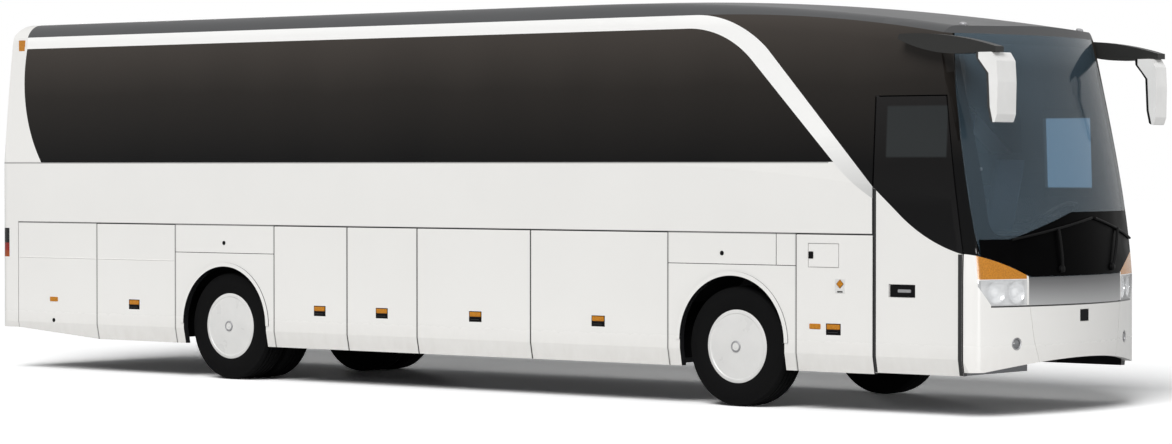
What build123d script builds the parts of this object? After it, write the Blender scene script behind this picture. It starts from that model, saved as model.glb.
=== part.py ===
"""Two-axle touring coach: hollow body of separate panels, glazing, luggage flaps, door, axles and wheels.

Frame: +X forward, +Y left, +Z up, millimetres. The origin is on the ground under the middle of the body.
The right side (-Y) carries the passenger door; like pieces of the left side are mirrored from the right.
"""

import os
from collections import namedtuple
from math import cos, radians, sin, sqrt

from build123d import *

# Overall size
WIDTH = 2550.0
HEIGHT = 3510.0
FRONT_OVERHANG = 2700.0
WHEELBASE = 6080.0
REAR_OVERHANG = 3220.0

LENGTH = FRONT_OVERHANG + WHEELBASE + REAR_OVERHANG
HALF_WIDTH = WIDTH / 2
FRONT_X = LENGTH / 2
REAR_X = -LENGTH / 2
FRONT_AXLE_X = FRONT_X - FRONT_OVERHANG
REAR_AXLE_X = FRONT_AXLE_X - WHEELBASE

# Body heights
SKIRT_Z = 332.0
TUCK_TOP_Z = 480.0
LEAN_START_Z = 1100.0
FLAP_TOP_Z = 1480.0
WAIST_Z = 2080.0
ROOF_SEAM_Z = HEIGHT - 170.0
FRONT_SEAM_Z = HEIGHT - 380.0

# Body section
TUCK_IN = 30.0
TUMBLEHOME = 0.0586
ROOF_FALL = 0.05
ROOF_EDGE_R = 200.0
ROOF_RIDGE_R = 8000.0
RIDGE_APEX_Z = HEIGHT + ROOF_RIDGE_R * (sqrt(1 + ROOF_FALL**2) - 1)
ROOF_DROP_START_X = FRONT_X - 4400.0
ROOF_DROP_R = 26600.0
ROOF_DROP_Z = HEIGHT - ROOF_DROP_R
FRONT_PLAN_R = 2900.0
FRONT_CORNER_R = 160.0
REAR_CORNER_R = 120.0
REAR_LEAN = 0.1
REAR_TOP_R = 300.0
REAR_TOP_RELIEF = 8.0
WALL_T = 60.0
GLASS_T = 10.0
LEAF_T = 50.0
PANEL_GAP = 10.0
FIT_GAP = 0.5
PIN_CLEARANCE = 0.08
OVERSHOOT = 300.0
FRONT_DEPTH = 900.0
SEAM_W = 6.0
SEAM_DEPTH = 8.0

# Panel joints along the side, from the rear to the door
REAR_SEAM_X = REAR_X + 280.0
ENGINE_PANEL_X = REAR_X + 1440.0
REAR_ARCH_BACK_X = REAR_AXLE_X - 670.0
REAR_ARCH_FRONT_X = REAR_AXLE_X + 663.0
FRONT_ARCH_BACK_X = FRONT_AXLE_X - 685.0
FRONT_ARCH_FRONT_X = FRONT_AXLE_X + 675.0
BAY_SHARES = (0.2, 0.385, 0.672)
BAY_SEAMS_X = [REAR_ARCH_FRONT_X + share * (FRONT_ARCH_BACK_X - REAR_ARCH_FRONT_X) for share in BAY_SHARES]
DOOR_REAR_X = FRONT_X - 1243.0
DOOR_FRONT_X = FRONT_X - 371.0
DOOR_TOP_Z = HEIGHT - 895.0
DOOR_TOP_FRONT_X = DOOR_FRONT_X - 188.0
DOOR_BOTTOM_Z = 345.0
CORNER_TOP_Z = 1340.0
MASK_FOOT_Z = 375.0
PILLAR_FOOT = (FRONT_X - 276.0, CORNER_TOP_Z + 14.0)
PILLAR_HEAD = (FRONT_X - 602.0, FRONT_SEAM_Z)

Flap = namedtuple("Flap", "name back front handle_share")
FLAPS = [
    Flap("rear_flap", ENGINE_PANEL_X, REAR_ARCH_BACK_X, 0.48),
    Flap("bay_flap_4", REAR_ARCH_FRONT_X, BAY_SEAMS_X[0], 0.63),
    Flap("bay_flap_3", BAY_SEAMS_X[0], BAY_SEAMS_X[1], 0.5),
    Flap("bay_flap_2", BAY_SEAMS_X[1], BAY_SEAMS_X[2], 0.52),
    Flap("bay_flap_1", BAY_SEAMS_X[2], FRONT_ARCH_BACK_X, 0.5),
    Flap("front_flap", FRONT_ARCH_FRONT_X, DOOR_REAR_X, 0.49),
]
HANDLE_Z = 690.0
HANDLE_SIZE = (150.0, 96.0)
HANDLE_DEPTH = 16.0
FUEL_LID = (FRONT_ARCH_FRONT_X + 123.0, FRONT_ARCH_FRONT_X + 440.0, 1201.0, 1404.0)
DOOR_HANDLE = (DOOR_REAR_X + 158.0, DOOR_REAR_X + 418.0, 970.0, 1078.0)

# Claw hinges at the top of each flap
HINGE_INSET = 12.0
HINGE_Z = FLAP_TOP_Z - 14.0
HINGE_PIN_R = 6.0
CLAW_R = HINGE_INSET
CLAW_WRAP_DEG = 158.0
FLAP_HEAD_DROP = -22.0
FLAP_HEAD_Z = HINGE_Z + FLAP_HEAD_DROP
RAIL_WEB = 4.0
RAIL_FLANGE = (10.0, 80.0)
WALL_FOOT_Z = FLAP_TOP_Z + SEAM_W

# Wheels
TYRE_R = 512.0
TYRE_W = 295.0
RIM_R = 286.0
RIM_HALF_W = 105.0
WHEEL_Y = HALF_WIDTH - 215.0
TWIN_SPACING = 330.0
COVER_R = RIM_R + 27.0
COVER_EDGE_R = COVER_R - 55.0
COVER_RISE = 42.0
CAP_R = 42.0
CAP_RISE = 7.0
HUB_R = 95.0
SPINDLE_R = 45.0
ARCH_HALF_W = TYRE_R + 44.0
ARCH_LIP = (38.0, 8.0)
SERVICE_LINE_Z = 2 * TYRE_R + 186.0
SERVICE_SPLIT_X = FRONT_AXLE_X + 467.0
FRONT_ARCH_TOP_Z = 2 * TYRE_R + 93.0
REAR_ARCH_TOP_Z = 2 * TYRE_R + 61.0
HOUSING_HALF_L = TYRE_R + 100.0
HOUSING_TOP_Z = 2 * TYRE_R + 146.0
HOUSING_FOOT_Z = SKIRT_Z + 60.0
HOUSING_T = 15.0
HOUSING_INNER_Y = HALF_WIDTH - 755.0
HOUSING_CORNER_R = 300.0

# Steering
KINGPIN_Y = HALF_WIDTH - 345.0
KINGPIN_R = 22.0
EYE_R = 48.0
EYE_HALF_H = 60.0
EAR_H = 30.0
EAR_CLEARANCE = 0.4
STEER_ARM = 180.0
TRACK_ROD_R = 20.0

# Floors and frame
FLOOR_TOP_Z = FLAP_TOP_Z - 10.0
FLOOR_T = 50.0
BAY_FLOOR_Z = SKIRT_Z + 13.0
BAY_FLOOR_T = 40.0
BULKHEAD_T = 30.0
POST_W = 50.0
RAIL_Y = HALF_WIDTH - 855.0
RAIL_W = 80.0
FRONT_RAIL_Z = (760.0, 900.0)
REAR_RAIL_Z = (800.0, 940.0)
PLATFORM_Z = 1050.0

# Passenger door linkage
DOOR_POST = (DOOR_FRONT_X - 189.0, HALF_WIDTH - 175.0)
DOOR_ARM_R = 560.0
DOOR_ARM_Z = (720.0, 1480.0)
DOOR_POST_R = 20.0
DOOR_PIN_R = 12.0
DOOR_LUG_R = 30.0
DOOR_LUG_W = 48.0
DOOR_PIN_L = 45.0
ARM_T = 30.0
STEP_Z = (400.0, 620.0, 840.0)
POST_FOOT_Z = STEP_Z[0] + FIT_GAP
POST_HEAD_Z = 1600.0

INNER_Y = HALF_WIDTH - WALL_T
PARTS = "parts"


def skin_y(z, x=0.0):
    """Half width of the outer skin: tucked in at the skirt, leaning in above the waist."""
    if z < TUCK_TOP_Z:
        return HALF_WIDTH - TUCK_IN * (TUCK_TOP_Z - z) / (TUCK_TOP_Z - SKIRT_Z)
    reach = max(0.0, x - ROOF_DROP_START_X)
    level = sqrt(reach**2 + (z - ROOF_DROP_Z) ** 2) + ROOF_DROP_Z
    return HALF_WIDTH - TUMBLEHOME * max(0.0, level - WAIST_Z)


def pillar_x(z):
    """Edge between windscreen and side glazing, seen from the side."""
    slope = (PILLAR_HEAD[0] - PILLAR_FOOT[0]) / (PILLAR_HEAD[1] - PILLAR_FOOT[1])
    return PILLAR_FOOT[0] + slope * (z - PILLAR_FOOT[1])


def save(part, name):
    part.label = name
    export_step(part, os.path.join(PARTS, name + ".step"))


def mirrored(part):
    return mirror(part, about=Plane.XZ, mode=Mode.PRIVATE)


def both_sides(part):
    return Compound(children=[*part.solids(), *mirrored(part).solids()])


# Outer envelope: a straight box and a lofted nose, cut by the roof's section, the tail and the skirt
WallStation = namedtuple("WallStation", "z front_setback")
WALL_STATIONS = [
    WallStation(LEAN_START_Z, 0.0),
    WallStation(1700.0, 75.0),
    WallStation(2300.0, 195.0),
    WallStation(2900.0, 335.0),
    WallStation(HEIGHT + OVERSHOOT, 545.0),
]
BODY_FLOOR_Z = 200.0
NOSE_X = FRONT_X - 1000.0
ROOF_TURN_DEG = 13.0


def nose_face(z, setback, inset):
    """Front end in plan: flat sides, tight corners and one broad arc."""
    half = HALF_WIDTH - inset
    front = FRONT_X - setback - inset
    plan_r = FRONT_PLAN_R - inset
    corner_r = FRONT_CORNER_R - inset
    centre_x = front - plan_r
    corner_x = centre_x + sqrt((plan_r - corner_r) ** 2 - (half - corner_r) ** 2)
    corner_y = half - corner_r
    reach = Vector(corner_x - centre_x, corner_y).normalized()
    on_front = Vector(centre_x, 0) + reach * plan_r
    bisector = (reach + Vector(0, 1)).normalized()
    on_corner = Vector(corner_x, corner_y) + bisector * corner_r
    with BuildSketch(Plane.XY.offset(z)) as face:
        with BuildLine():
            ThreePointArc((on_front.X, -on_front.Y), (front, 0), (on_front.X, on_front.Y))
            ThreePointArc((on_front.X, on_front.Y), (on_corner.X, on_corner.Y), (corner_x, half))
            Line((corner_x, half), (NOSE_X, half))
            Line((NOSE_X, half), (NOSE_X, -half))
            Line((NOSE_X, -half), (corner_x, -half))
            ThreePointArc((corner_x, -half), (on_corner.X, -on_corner.Y), (on_front.X, -on_front.Y))
        make_face()
    return face.sketch


def section_face(x, inset):
    """Body cross-section: upright sides, leaning glass, round roof edge, low crown."""
    top = RIDGE_APEX_Z - inset
    half = HALF_WIDTH - inset
    shoulder_z = (top - ROOF_FALL * (half + TUMBLEHOME * WAIST_Z)) / (1 - ROOF_FALL * TUMBLEHOME)
    shoulder_y = half - TUMBLEHOME * (shoulder_z - WAIST_Z)
    with BuildSketch(Plane.YZ.offset(x)) as face:
        with BuildLine():
            Polyline(
                (-half, 0),
                (half, 0),
                (half, WAIST_Z),
                (shoulder_y, shoulder_z),
                (0, top),
                (-shoulder_y, shoulder_z),
                (-half, WAIST_Z),
                close=True,
            )
        make_face()
        fillet(face.vertices().filter_by(lambda v: abs(v.Y - shoulder_z) < 1.0), radius=ROOF_EDGE_R - inset)
        fillet(face.vertices().sort_by(Axis.Y)[-1], radius=ROOF_RIDGE_R - inset)
    return face.sketch


def envelope(inset):
    """The body's whole outer form, moved inwards by inset."""
    half = HALF_WIDTH - inset
    rear = REAR_X + inset
    turn_axis = Axis((ROOF_DROP_START_X, 0, ROOF_DROP_Z), (0, 1, 0))
    with BuildPart() as roofed:
        add(section_face(REAR_X - OVERSHOOT, inset))
        extrude(amount=ROOF_DROP_START_X - REAR_X + OVERSHOOT, dir=(1, 0, 0))
        add(section_face(ROOF_DROP_START_X, inset))
        revolve(axis=turn_axis, revolution_arc=ROOF_TURN_DEG)
    top_z = HEIGHT + OVERSHOOT / 10 - inset
    with BuildPart() as tail:
        with BuildSketch(Plane.XZ) as outline:
            with BuildLine():
                Polyline(
                    (rear - REAR_TOP_RELIEF, 0),
                    (FRONT_X + OVERSHOOT, 0),
                    (FRONT_X + OVERSHOOT, top_z),
                    (rear - REAR_TOP_RELIEF + REAR_LEAN * (top_z - WAIST_Z), top_z),
                    (rear - REAR_TOP_RELIEF, WAIST_Z),
                    close=True,
                )
            make_face()
            fillet(outline.vertices().sort_by_distance((rear, top_z))[0], radius=REAR_TOP_R - inset)
        extrude(amount=WIDTH, both=True)
    tuck = TUCK_IN / (TUCK_TOP_Z - SKIRT_Z)
    low_half = half - tuck * (TUCK_TOP_Z - BODY_FLOOR_Z)
    high_half = half + tuck * (LEAN_START_Z - TUCK_TOP_Z)
    with BuildPart() as skirt:
        with BuildSketch(Plane.YZ.offset(REAR_X - OVERSHOOT)):
            with BuildLine():
                Polyline(
                    (-low_half, BODY_FLOOR_Z),
                    (low_half, BODY_FLOOR_Z),
                    (high_half, LEAN_START_Z),
                    (high_half, HEIGHT + OVERSHOOT),
                    (-high_half, HEIGHT + OVERSHOOT),
                    (-high_half, LEAN_START_Z),
                    close=True,
                )
            make_face()
        extrude(amount=LENGTH + 2 * OVERSHOOT, dir=(1, 0, 0))
    with BuildPart() as body:
        for foot, head, lean in ((BODY_FLOOR_Z, WAIST_Z, 0.0), (WAIST_Z, HEIGHT + OVERSHOOT, REAR_LEAN)):
            with BuildSketch(Plane.XY.offset(foot)) as plan:
                with Locations((rear, 0)):
                    Rectangle(NOSE_X - rear, 2 * half, align=(Align.MIN, Align.CENTER))
                fillet(plan.vertices().sort_by(Axis.X)[:2], radius=REAR_CORNER_R - inset)
            extrude(amount=(head - foot) * sqrt(1 + lean**2), dir=(lean, 0, 1))
        add(nose_face(BODY_FLOOR_Z, 0.0, inset))
        extrude(amount=LEAN_START_Z - BODY_FLOOR_Z, dir=(0, 0, 1))
        loft([nose_face(s.z, s.front_setback, inset) for s in WALL_STATIONS])
        add(roofed.part, mode=Mode.INTERSECT)
        add(tail.part, mode=Mode.INTERSECT)
        add(skirt.part, mode=Mode.INTERSECT)
    return body.part


def right_region(*runs):
    """Side-view outline of lines and three-point arcs, carried through the right side wall."""
    with BuildPart() as block:
        with BuildSketch(Plane.XZ.offset(HALF_WIDTH / 2)):
            with BuildLine():
                for run in runs:
                    if len(run) == 3:
                        ThreePointArc(*run)
                    else:
                        Polyline(*run)
            make_face()
        extrude(amount=HALF_WIDTH, dir=(0, -1, 0))
    return block.part


def right_polygon(*points):
    return right_region([*points, points[0]])


def right_slab(back, front, foot, head, inner_inset):
    """Flat stretch of the right side wall between two heights."""
    levels = [foot, *[z for z in (TUCK_TOP_Z, WAIST_Z) if foot < z < head], head]
    skin = [(-skin_y(z), z) for z in levels]
    lining = [(inner_inset - skin_y(z), z) for z in reversed(levels)]
    with BuildPart() as slab:
        with BuildSketch(Plane.YZ.offset(back)):
            with BuildLine():
                Polyline(*skin, *lining, close=True)
            make_face()
        extrude(amount=front - back, dir=(1, 0, 0))
    return slab.part


def front_region(*runs):
    """Front-view outline carried through the front of the body."""
    with BuildPart() as block:
        with BuildSketch(Plane.YZ.offset(FRONT_X - FRONT_DEPTH)):
            with BuildLine():
                for run in runs:
                    if len(run) == 3:
                        ThreePointArc(*run)
                    else:
                        Polyline(*run)
            make_face()
        extrude(amount=FRONT_DEPTH + OVERSHOOT, dir=(1, 0, 0))
    return block.part


def box_between(low, high):
    """Box from one corner to the other."""
    size = [b - a for a, b in zip(low, high)]
    with BuildPart() as block:
        with Locations(low):
            Box(*size, align=(Align.MIN, Align.MIN, Align.MIN))
    return block.part


def side_seam(back, front, foot, head):
    """Shallow cut in the right skin: a panel joint, a pocket or a notch."""
    return box_between((back, -HALF_WIDTH - SEAM_DEPTH, foot), (front, SEAM_DEPTH - HALF_WIDTH, head))


def claw_profile(skin, z):
    """Claw of a flap round its hinge bead, outward towards the sketch's -X."""
    pin_x = skin + HINGE_INSET
    wrap = radians(CLAW_WRAP_DEG)
    reach = 2 * CLAW_R
    with BuildSketch() as claw:
        with Locations((pin_x, z)):
            Circle(CLAW_R)
        with BuildLine():
            Polyline(
                (pin_x, z),
                (pin_x - reach * sin(wrap), z - reach * cos(wrap)),
                (pin_x + reach, z + reach),
                (pin_x + reach, z - reach),
                (pin_x, z - reach),
                close=True,
            )
        make_face(mode=Mode.SUBTRACT)
        with Locations((skin, z)):
            Rectangle(HINGE_INSET, -FLAP_HEAD_DROP, align=(Align.MIN, Align.MAX))
        with Locations((pin_x, z)):
            Circle(HINGE_PIN_R + PIN_CLEARANCE, mode=Mode.SUBTRACT)
    return claw.sketch


def rail_profile(skin, z, lining):
    """Hinge bead on its web, with a flange up the inside of the wall above."""
    web = RAIL_WEB / 2
    with BuildSketch() as rail:
        with BuildLine():
            Polyline(
                (skin + HINGE_INSET, z - web),
                (lining + RAIL_FLANGE[0], z - web),
                (lining + RAIL_FLANGE[0], z + RAIL_FLANGE[1]),
                (lining, z + RAIL_FLANGE[1]),
                (lining, z + web),
                (skin + HINGE_INSET, z + web),
                close=True,
            )
        make_face()
        with Locations((skin + HINGE_INSET, z)):
            Circle(HINGE_PIN_R)
    return rail.sketch


os.makedirs(PARTS, exist_ok=True)
outer = envelope(0.0)
glazed = envelope(GLASS_T)
lined = envelope(LEAF_T)
inner = envelope(WALL_T)
with BuildPart() as shell:
    add(outer)
    add(inner, mode=Mode.SUBTRACT)
with BuildPart() as skin_layer:
    add(outer)
    add(glazed, mode=Mode.SUBTRACT)
with BuildPart() as leaf_layer:
    add(outer)
    add(lined, mode=Mode.SUBTRACT)

# Side-view regions shared by walls, glazing, stripe and door
STRIPE_LOW_Z = ROOF_SEAM_Z - 115.0
STRIPE_BEND = [
    (FRONT_X - 3255.0, STRIPE_LOW_Z),
    (FRONT_X - 2820.0, STRIPE_LOW_Z - 85.0),
    (FRONT_X - 2525.0, STRIPE_LOW_Z - 285.0),
]
STRIPE_TAIL = [
    (FRONT_X - 1646.0, WAIST_Z - 6.0),
    (FRONT_X - 1340.0, WAIST_Z - 248.0),
    (FRONT_X - 1005.0, WAIST_Z - 412.0),
]
STRIPE_TOP_TAIL = (FRONT_X - 1250.0, WAIST_Z - 203.0)
STRIPE_TOP_BEND = [
    (FRONT_X - 2368.0, ROOF_SEAM_Z - 306.0),
    (FRONT_X - 2745.0, ROOF_SEAM_Z - 75.0),
    (FRONT_X - 3156.0, ROOF_SEAM_Z),
]
BLACK_EDGE = [
    STRIPE_TAIL[2],
    (FRONT_X - 670.0, CORNER_TOP_Z + 102.0),
    (PILLAR_FOOT[0], CORNER_TOP_Z - 27.0),
]
SEAM_ARC = [PILLAR_HEAD, (FRONT_X - 1850.0, ROOF_SEAM_Z - 52.0), (FRONT_X - 3200.0, ROOF_SEAM_Z)]
GLASS_REAR = [
    (REAR_X + 349.0, STRIPE_LOW_Z),
    (REAR_X + 350.0, WAIST_Z + 620.0),
    (REAR_X + 628.0, WAIST_Z),
]
STRIPE_WAIST_X = STRIPE_TAIL[0][0] - 7.0
STRIPE_END = (GLASS_REAR[0][0], ROOF_SEAM_Z)

stripe_region = right_region(
    [GLASS_REAR[0], STRIPE_BEND[0]],
    STRIPE_BEND,
    [STRIPE_BEND[2], STRIPE_TAIL[0]],
    STRIPE_TAIL,
    [STRIPE_TAIL[2], STRIPE_TOP_TAIL],
    [STRIPE_TOP_TAIL, STRIPE_TOP_BEND[0]],
    STRIPE_TOP_BEND,
    [STRIPE_TOP_BEND[2], STRIPE_END],
    [STRIPE_END, GLASS_REAR[0]],
)
band_region = right_region(
    GLASS_REAR,
    [GLASS_REAR[2], (STRIPE_WAIST_X, WAIST_Z)],
    [(STRIPE_WAIST_X, WAIST_Z), STRIPE_TAIL[0]],
    STRIPE_TAIL,
    BLACK_EDGE,
    [BLACK_EDGE[2], PILLAR_FOOT],
    [PILLAR_FOOT, PILLAR_HEAD],
    SEAM_ARC,
    [SEAM_ARC[2], STRIPE_END],
    [STRIPE_END, GLASS_REAR[0]],
)
upper_region = right_region(
    [(REAR_SEAM_X, WALL_FOOT_Z), (DOOR_FRONT_X, WALL_FOOT_Z)],
    [(DOOR_FRONT_X, WALL_FOOT_Z), (DOOR_FRONT_X, CORNER_TOP_Z)],
    [(DOOR_FRONT_X, CORNER_TOP_Z), (pillar_x(CORNER_TOP_Z), CORNER_TOP_Z)],
    [(pillar_x(CORNER_TOP_Z), CORNER_TOP_Z), PILLAR_HEAD],
    SEAM_ARC,
    [SEAM_ARC[2], (REAR_SEAM_X, ROOF_SEAM_Z)],
    [(REAR_SEAM_X, ROOF_SEAM_Z), (REAR_SEAM_X, WALL_FOOT_Z)],
)
door_region = right_polygon(
    (DOOR_REAR_X + PANEL_GAP / 2, DOOR_BOTTOM_Z),
    (DOOR_FRONT_X, DOOR_BOTTOM_Z),
    (DOOR_FRONT_X, CORNER_TOP_Z),
    (DOOR_TOP_FRONT_X, DOOR_TOP_Z),
    (DOOR_REAR_X + PANEL_GAP / 2, DOOR_TOP_Z),
)
doorway_region = right_polygon(
    (DOOR_REAR_X - PANEL_GAP, 0),
    (DOOR_FRONT_X + PANEL_GAP, 0),
    (DOOR_FRONT_X + PANEL_GAP, CORNER_TOP_Z),
    (DOOR_TOP_FRONT_X + PANEL_GAP, DOOR_TOP_Z + PANEL_GAP),
    (DOOR_REAR_X - PANEL_GAP, DOOR_TOP_Z + PANEL_GAP),
)

with BuildPart() as front_zone:
    with BuildSketch(Plane.XZ.offset(WIDTH)):
        with BuildLine():
            Polyline(
                (DOOR_FRONT_X + PANEL_GAP, MASK_FOOT_Z),
                (FRONT_X + OVERSHOOT, MASK_FOOT_Z),
                (FRONT_X + OVERSHOOT, FRONT_SEAM_Z),
                PILLAR_HEAD,
                (pillar_x(CORNER_TOP_Z), CORNER_TOP_Z),
                (DOOR_FRONT_X + PANEL_GAP, CORNER_TOP_Z),
                close=True,
            )
        make_face()
    extrude(amount=2 * WIDTH, dir=(0, 1, 0))

# Side windows between pillars, and the driver's window on the left
Window = namedtuple("Window", "back front foot head")
WINDOW_COUNT = 6
WINDOW_POST = 120.0
WINDOW_ROW_X = (REAR_X + 720.0, FRONT_X - 3100.0)
WINDOW_Z = (WAIST_Z + 60.0, ROOF_SEAM_Z - 180.0)
window_pitch = (WINDOW_ROW_X[1] - WINDOW_ROW_X[0] + WINDOW_POST) / WINDOW_COUNT
SIDE_WINDOWS = [
    Window(back, back + window_pitch - WINDOW_POST, *WINDOW_Z)
    for back in [WINDOW_ROW_X[0] + n * window_pitch for n in range(WINDOW_COUNT)]
]
FRONT_WINDOW = Window(FRONT_X - 2040.0, FRONT_X - 1380.0, WINDOW_Z[0] + 20.0, DOOR_TOP_Z - 55.0)
DRIVER_WINDOW = Window(DOOR_REAR_X + 93.0, DOOR_FRONT_X - 299.0, FLAP_TOP_Z + 300.0, DOOR_TOP_Z - 75.0)
DOOR_WINDOW = Window(DOOR_REAR_X + 117.0, DOOR_TOP_FRONT_X - 41.0, FLAP_TOP_Z + 380.0, DOOR_TOP_Z - 77.0)


def window_cut(window):
    return right_polygon(
        (window.back, window.foot),
        (window.front, window.foot),
        (window.front, window.head),
        (window.back, window.head),
    )


with BuildPart() as stripe:
    add(stripe_region)
    add(skin_layer.part, mode=Mode.INTERSECT)
with BuildPart() as stripe_right:
    add(stripe.part)
    add(doorway_region, mode=Mode.SUBTRACT)
save(Compound(children=[*stripe_right.part.solids(), *mirrored(stripe.part).solids()]), "side_stripes")

with BuildPart() as band:
    add(band_region)
    add(skin_layer.part, mode=Mode.INTERSECT)
    add(stripe_region, mode=Mode.SUBTRACT)
    add(front_zone.part, mode=Mode.SUBTRACT)
save(mirrored(band.part), "side_glass_left")
with BuildPart() as band_right:
    add(band.part)
    add(doorway_region, mode=Mode.SUBTRACT)
save(band_right.part, "side_glass_right")

with BuildPart() as wall:
    add(upper_region)
    add(shell.part, mode=Mode.INTERSECT)
    add(stripe.part, mode=Mode.SUBTRACT)
    add(band.part, mode=Mode.SUBTRACT)
    for window in (*SIDE_WINDOWS, FRONT_WINDOW):
        add(window_cut(window), mode=Mode.SUBTRACT)
with BuildPart() as wall_right:
    add(wall.part)
    add(doorway_region, mode=Mode.SUBTRACT)
save(wall_right.part, "side_wall_right")
with BuildPart() as wall_left:
    add(wall.part)
    add(window_cut(DRIVER_WINDOW), mode=Mode.SUBTRACT)
save(mirrored(wall_left.part), "side_wall_left")

# Front: mask below the windscreen, lamps, grille, glass and its frame
MASK_TOP_Z = 1140.0
MASK_CORNER = [
    (HALF_WIDTH + 15.0, CORNER_TOP_Z),
    (HALF_WIDTH - 255.0, CORNER_TOP_Z - 70.0),
    (HALF_WIDTH - 575.0, MASK_TOP_Z),
]
LAMP_INNER_Y = HALF_WIDTH - 540.0
LAMP_OUTER_Y = HALF_WIDTH - 70.0
LAMP_FOOT_Z = 912.0
LAMP_TOP_Z = MASK_TOP_Z - 18.0
LAMP_CUT = (120.0, 50.0)
INDICATOR_FOOT_Z = LAMP_TOP_Z + SEAM_W
GRILLE_HALF_W = LAMP_INNER_Y - 20.0
GRILLE_FOOT_Z = LAMP_FOOT_Z
BUMPER_RISE = 95.0
BUMPER_HALF_W = HALF_WIDTH - 125.0
BUMPER_SEAM = [
    (LAMP_INNER_Y - 27.0, LAMP_FOOT_Z),
    (LAMP_INNER_Y - 75.0, 627.0),
    (LAMP_INNER_Y - 150.0, 400.0),
]
FOG_LAMP = (HALF_WIDTH - 435.0, 600.0)
FOG_LAMP_R = 52.0
TOW_COVER = (70.0, 760.0, 865.0)
SCREEN_APERTURE = (HALF_WIDTH - 225.0, 1480.0, FRONT_SEAM_Z - 80.0)
SCREEN_APERTURE_R = 120.0

left_corner = [(-y, z) for y, z in MASK_CORNER]
mask_zone = front_region(
    [(-WIDTH, 0), (WIDTH, 0)],
    [(WIDTH, 0), (WIDTH, CORNER_TOP_Z)],
    [(WIDTH, CORNER_TOP_Z), MASK_CORNER[0]],
    MASK_CORNER,
    [MASK_CORNER[2], left_corner[2]],
    left_corner[::-1],
    [left_corner[0], (-WIDTH, CORNER_TOP_Z)],
    [(-WIDTH, CORNER_TOP_Z), (-WIDTH, 0)],
)


def front_panel(y0, y1, z0, z1):
    return front_region([(y0, z0), (y1, z0), (y1, z1), (y0, z1), (y0, z0)])


lamp_zone = front_region(
    [
        (-LAMP_OUTER_Y, LAMP_TOP_Z),
        (-LAMP_OUTER_Y, LAMP_TOP_Z - LAMP_CUT[1]),
        (LAMP_CUT[0] - LAMP_OUTER_Y, LAMP_FOOT_Z),
        (-LAMP_INNER_Y, LAMP_FOOT_Z),
        (-LAMP_INNER_Y, LAMP_TOP_Z),
        (-LAMP_OUTER_Y, LAMP_TOP_Z),
    ]
)
indicator_zone = front_panel(-LAMP_OUTER_Y, -LAMP_INNER_Y, INDICATOR_FOOT_Z, CORNER_TOP_Z)
grille_zone = front_panel(-GRILLE_HALF_W, GRILLE_HALF_W, GRILLE_FOOT_Z, CORNER_TOP_Z)
grille_gap = front_panel(-GRILLE_HALF_W, GRILLE_HALF_W, GRILLE_FOOT_Z - SEAM_W, GRILLE_FOOT_Z)
tow_zone = front_panel(-TOW_COVER[0], TOW_COVER[0], *TOW_COVER[1:])
seam_edge = [(-y, z) for y, z in BUMPER_SEAM]
seam_back = [(y + SEAM_W, z) for y, z in reversed(seam_edge)]
bumper_seam = front_region([*seam_edge, *seam_back, seam_edge[0]])
bumper_foot = front_region(
    [(BUMPER_HALF_W, 0), (BUMPER_HALF_W, MASK_FOOT_Z)],
    [(BUMPER_HALF_W, MASK_FOOT_Z), (0, MASK_FOOT_Z + BUMPER_RISE), (-BUMPER_HALF_W, MASK_FOOT_Z)],
    [(-BUMPER_HALF_W, MASK_FOOT_Z), (-BUMPER_HALF_W, 0)],
    [(-BUMPER_HALF_W, 0), (BUMPER_HALF_W, 0)],
)
with BuildPart() as fog_pocket:
    with BuildSketch(Plane.YZ.offset(FRONT_X - FRONT_DEPTH)):
        with Locations((-FOG_LAMP[0], FOG_LAMP[1])):
            Circle(FOG_LAMP_R)
    extrude(amount=FRONT_DEPTH, dir=(1, 0, 0))
    add(leaf_layer.part, mode=Mode.INTERSECT)
with BuildPart() as front_seams:
    for zone in (grille_gap, tow_zone, bumper_seam, mirrored(bumper_seam)):
        add(zone)
    add(skin_layer.part, mode=Mode.INTERSECT)

with BuildPart() as front_shell:
    add(front_zone.part)
    add(shell.part, mode=Mode.INTERSECT)
with BuildPart() as lamp:
    add(lamp_zone)
    add(front_shell.part, mode=Mode.INTERSECT)
    add(mask_zone, mode=Mode.INTERSECT)
save(both_sides(lamp.part), "headlamps")
with BuildPart() as indicator:
    add(indicator_zone)
    add(front_shell.part, mode=Mode.INTERSECT)
    add(mask_zone, mode=Mode.INTERSECT)
save(both_sides(indicator.part), "front_indicators")
with BuildPart() as grille:
    add(grille_zone)
    add(front_shell.part, mode=Mode.INTERSECT)
    add(mask_zone, mode=Mode.INTERSECT)
save(grille.part, "front_grille")
with BuildPart() as mask:
    add(front_shell.part)
    add(mask_zone, mode=Mode.INTERSECT)
    for piece in (lamp.part, indicator.part, fog_pocket.part):
        add(piece, mode=Mode.SUBTRACT)
        add(mirrored(piece), mode=Mode.SUBTRACT)
    for piece in (grille.part, front_seams.part, bumper_foot):
        add(piece, mode=Mode.SUBTRACT)
save(mask.part, "front_mask")
with BuildPart() as windscreen:
    add(front_zone.part)
    add(skin_layer.part, mode=Mode.INTERSECT)
    add(mask_zone, mode=Mode.SUBTRACT)
save(windscreen.part, "windscreen")
with BuildPart() as screen_frame:
    add(front_shell.part)
    add(mask_zone, mode=Mode.SUBTRACT)
    add(windscreen.part, mode=Mode.SUBTRACT)
    with BuildSketch(Plane.YZ.offset(FRONT_X - FRONT_DEPTH)):
        with Locations((0, (SCREEN_APERTURE[1] + SCREEN_APERTURE[2]) / 2)):
            RectangleRounded(
                2 * SCREEN_APERTURE[0],
                SCREEN_APERTURE[2] - SCREEN_APERTURE[1],
                SCREEN_APERTURE_R,
            )
    extrude(amount=FRONT_DEPTH + OVERSHOOT, dir=(1, 0, 0), mode=Mode.SUBTRACT)
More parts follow.
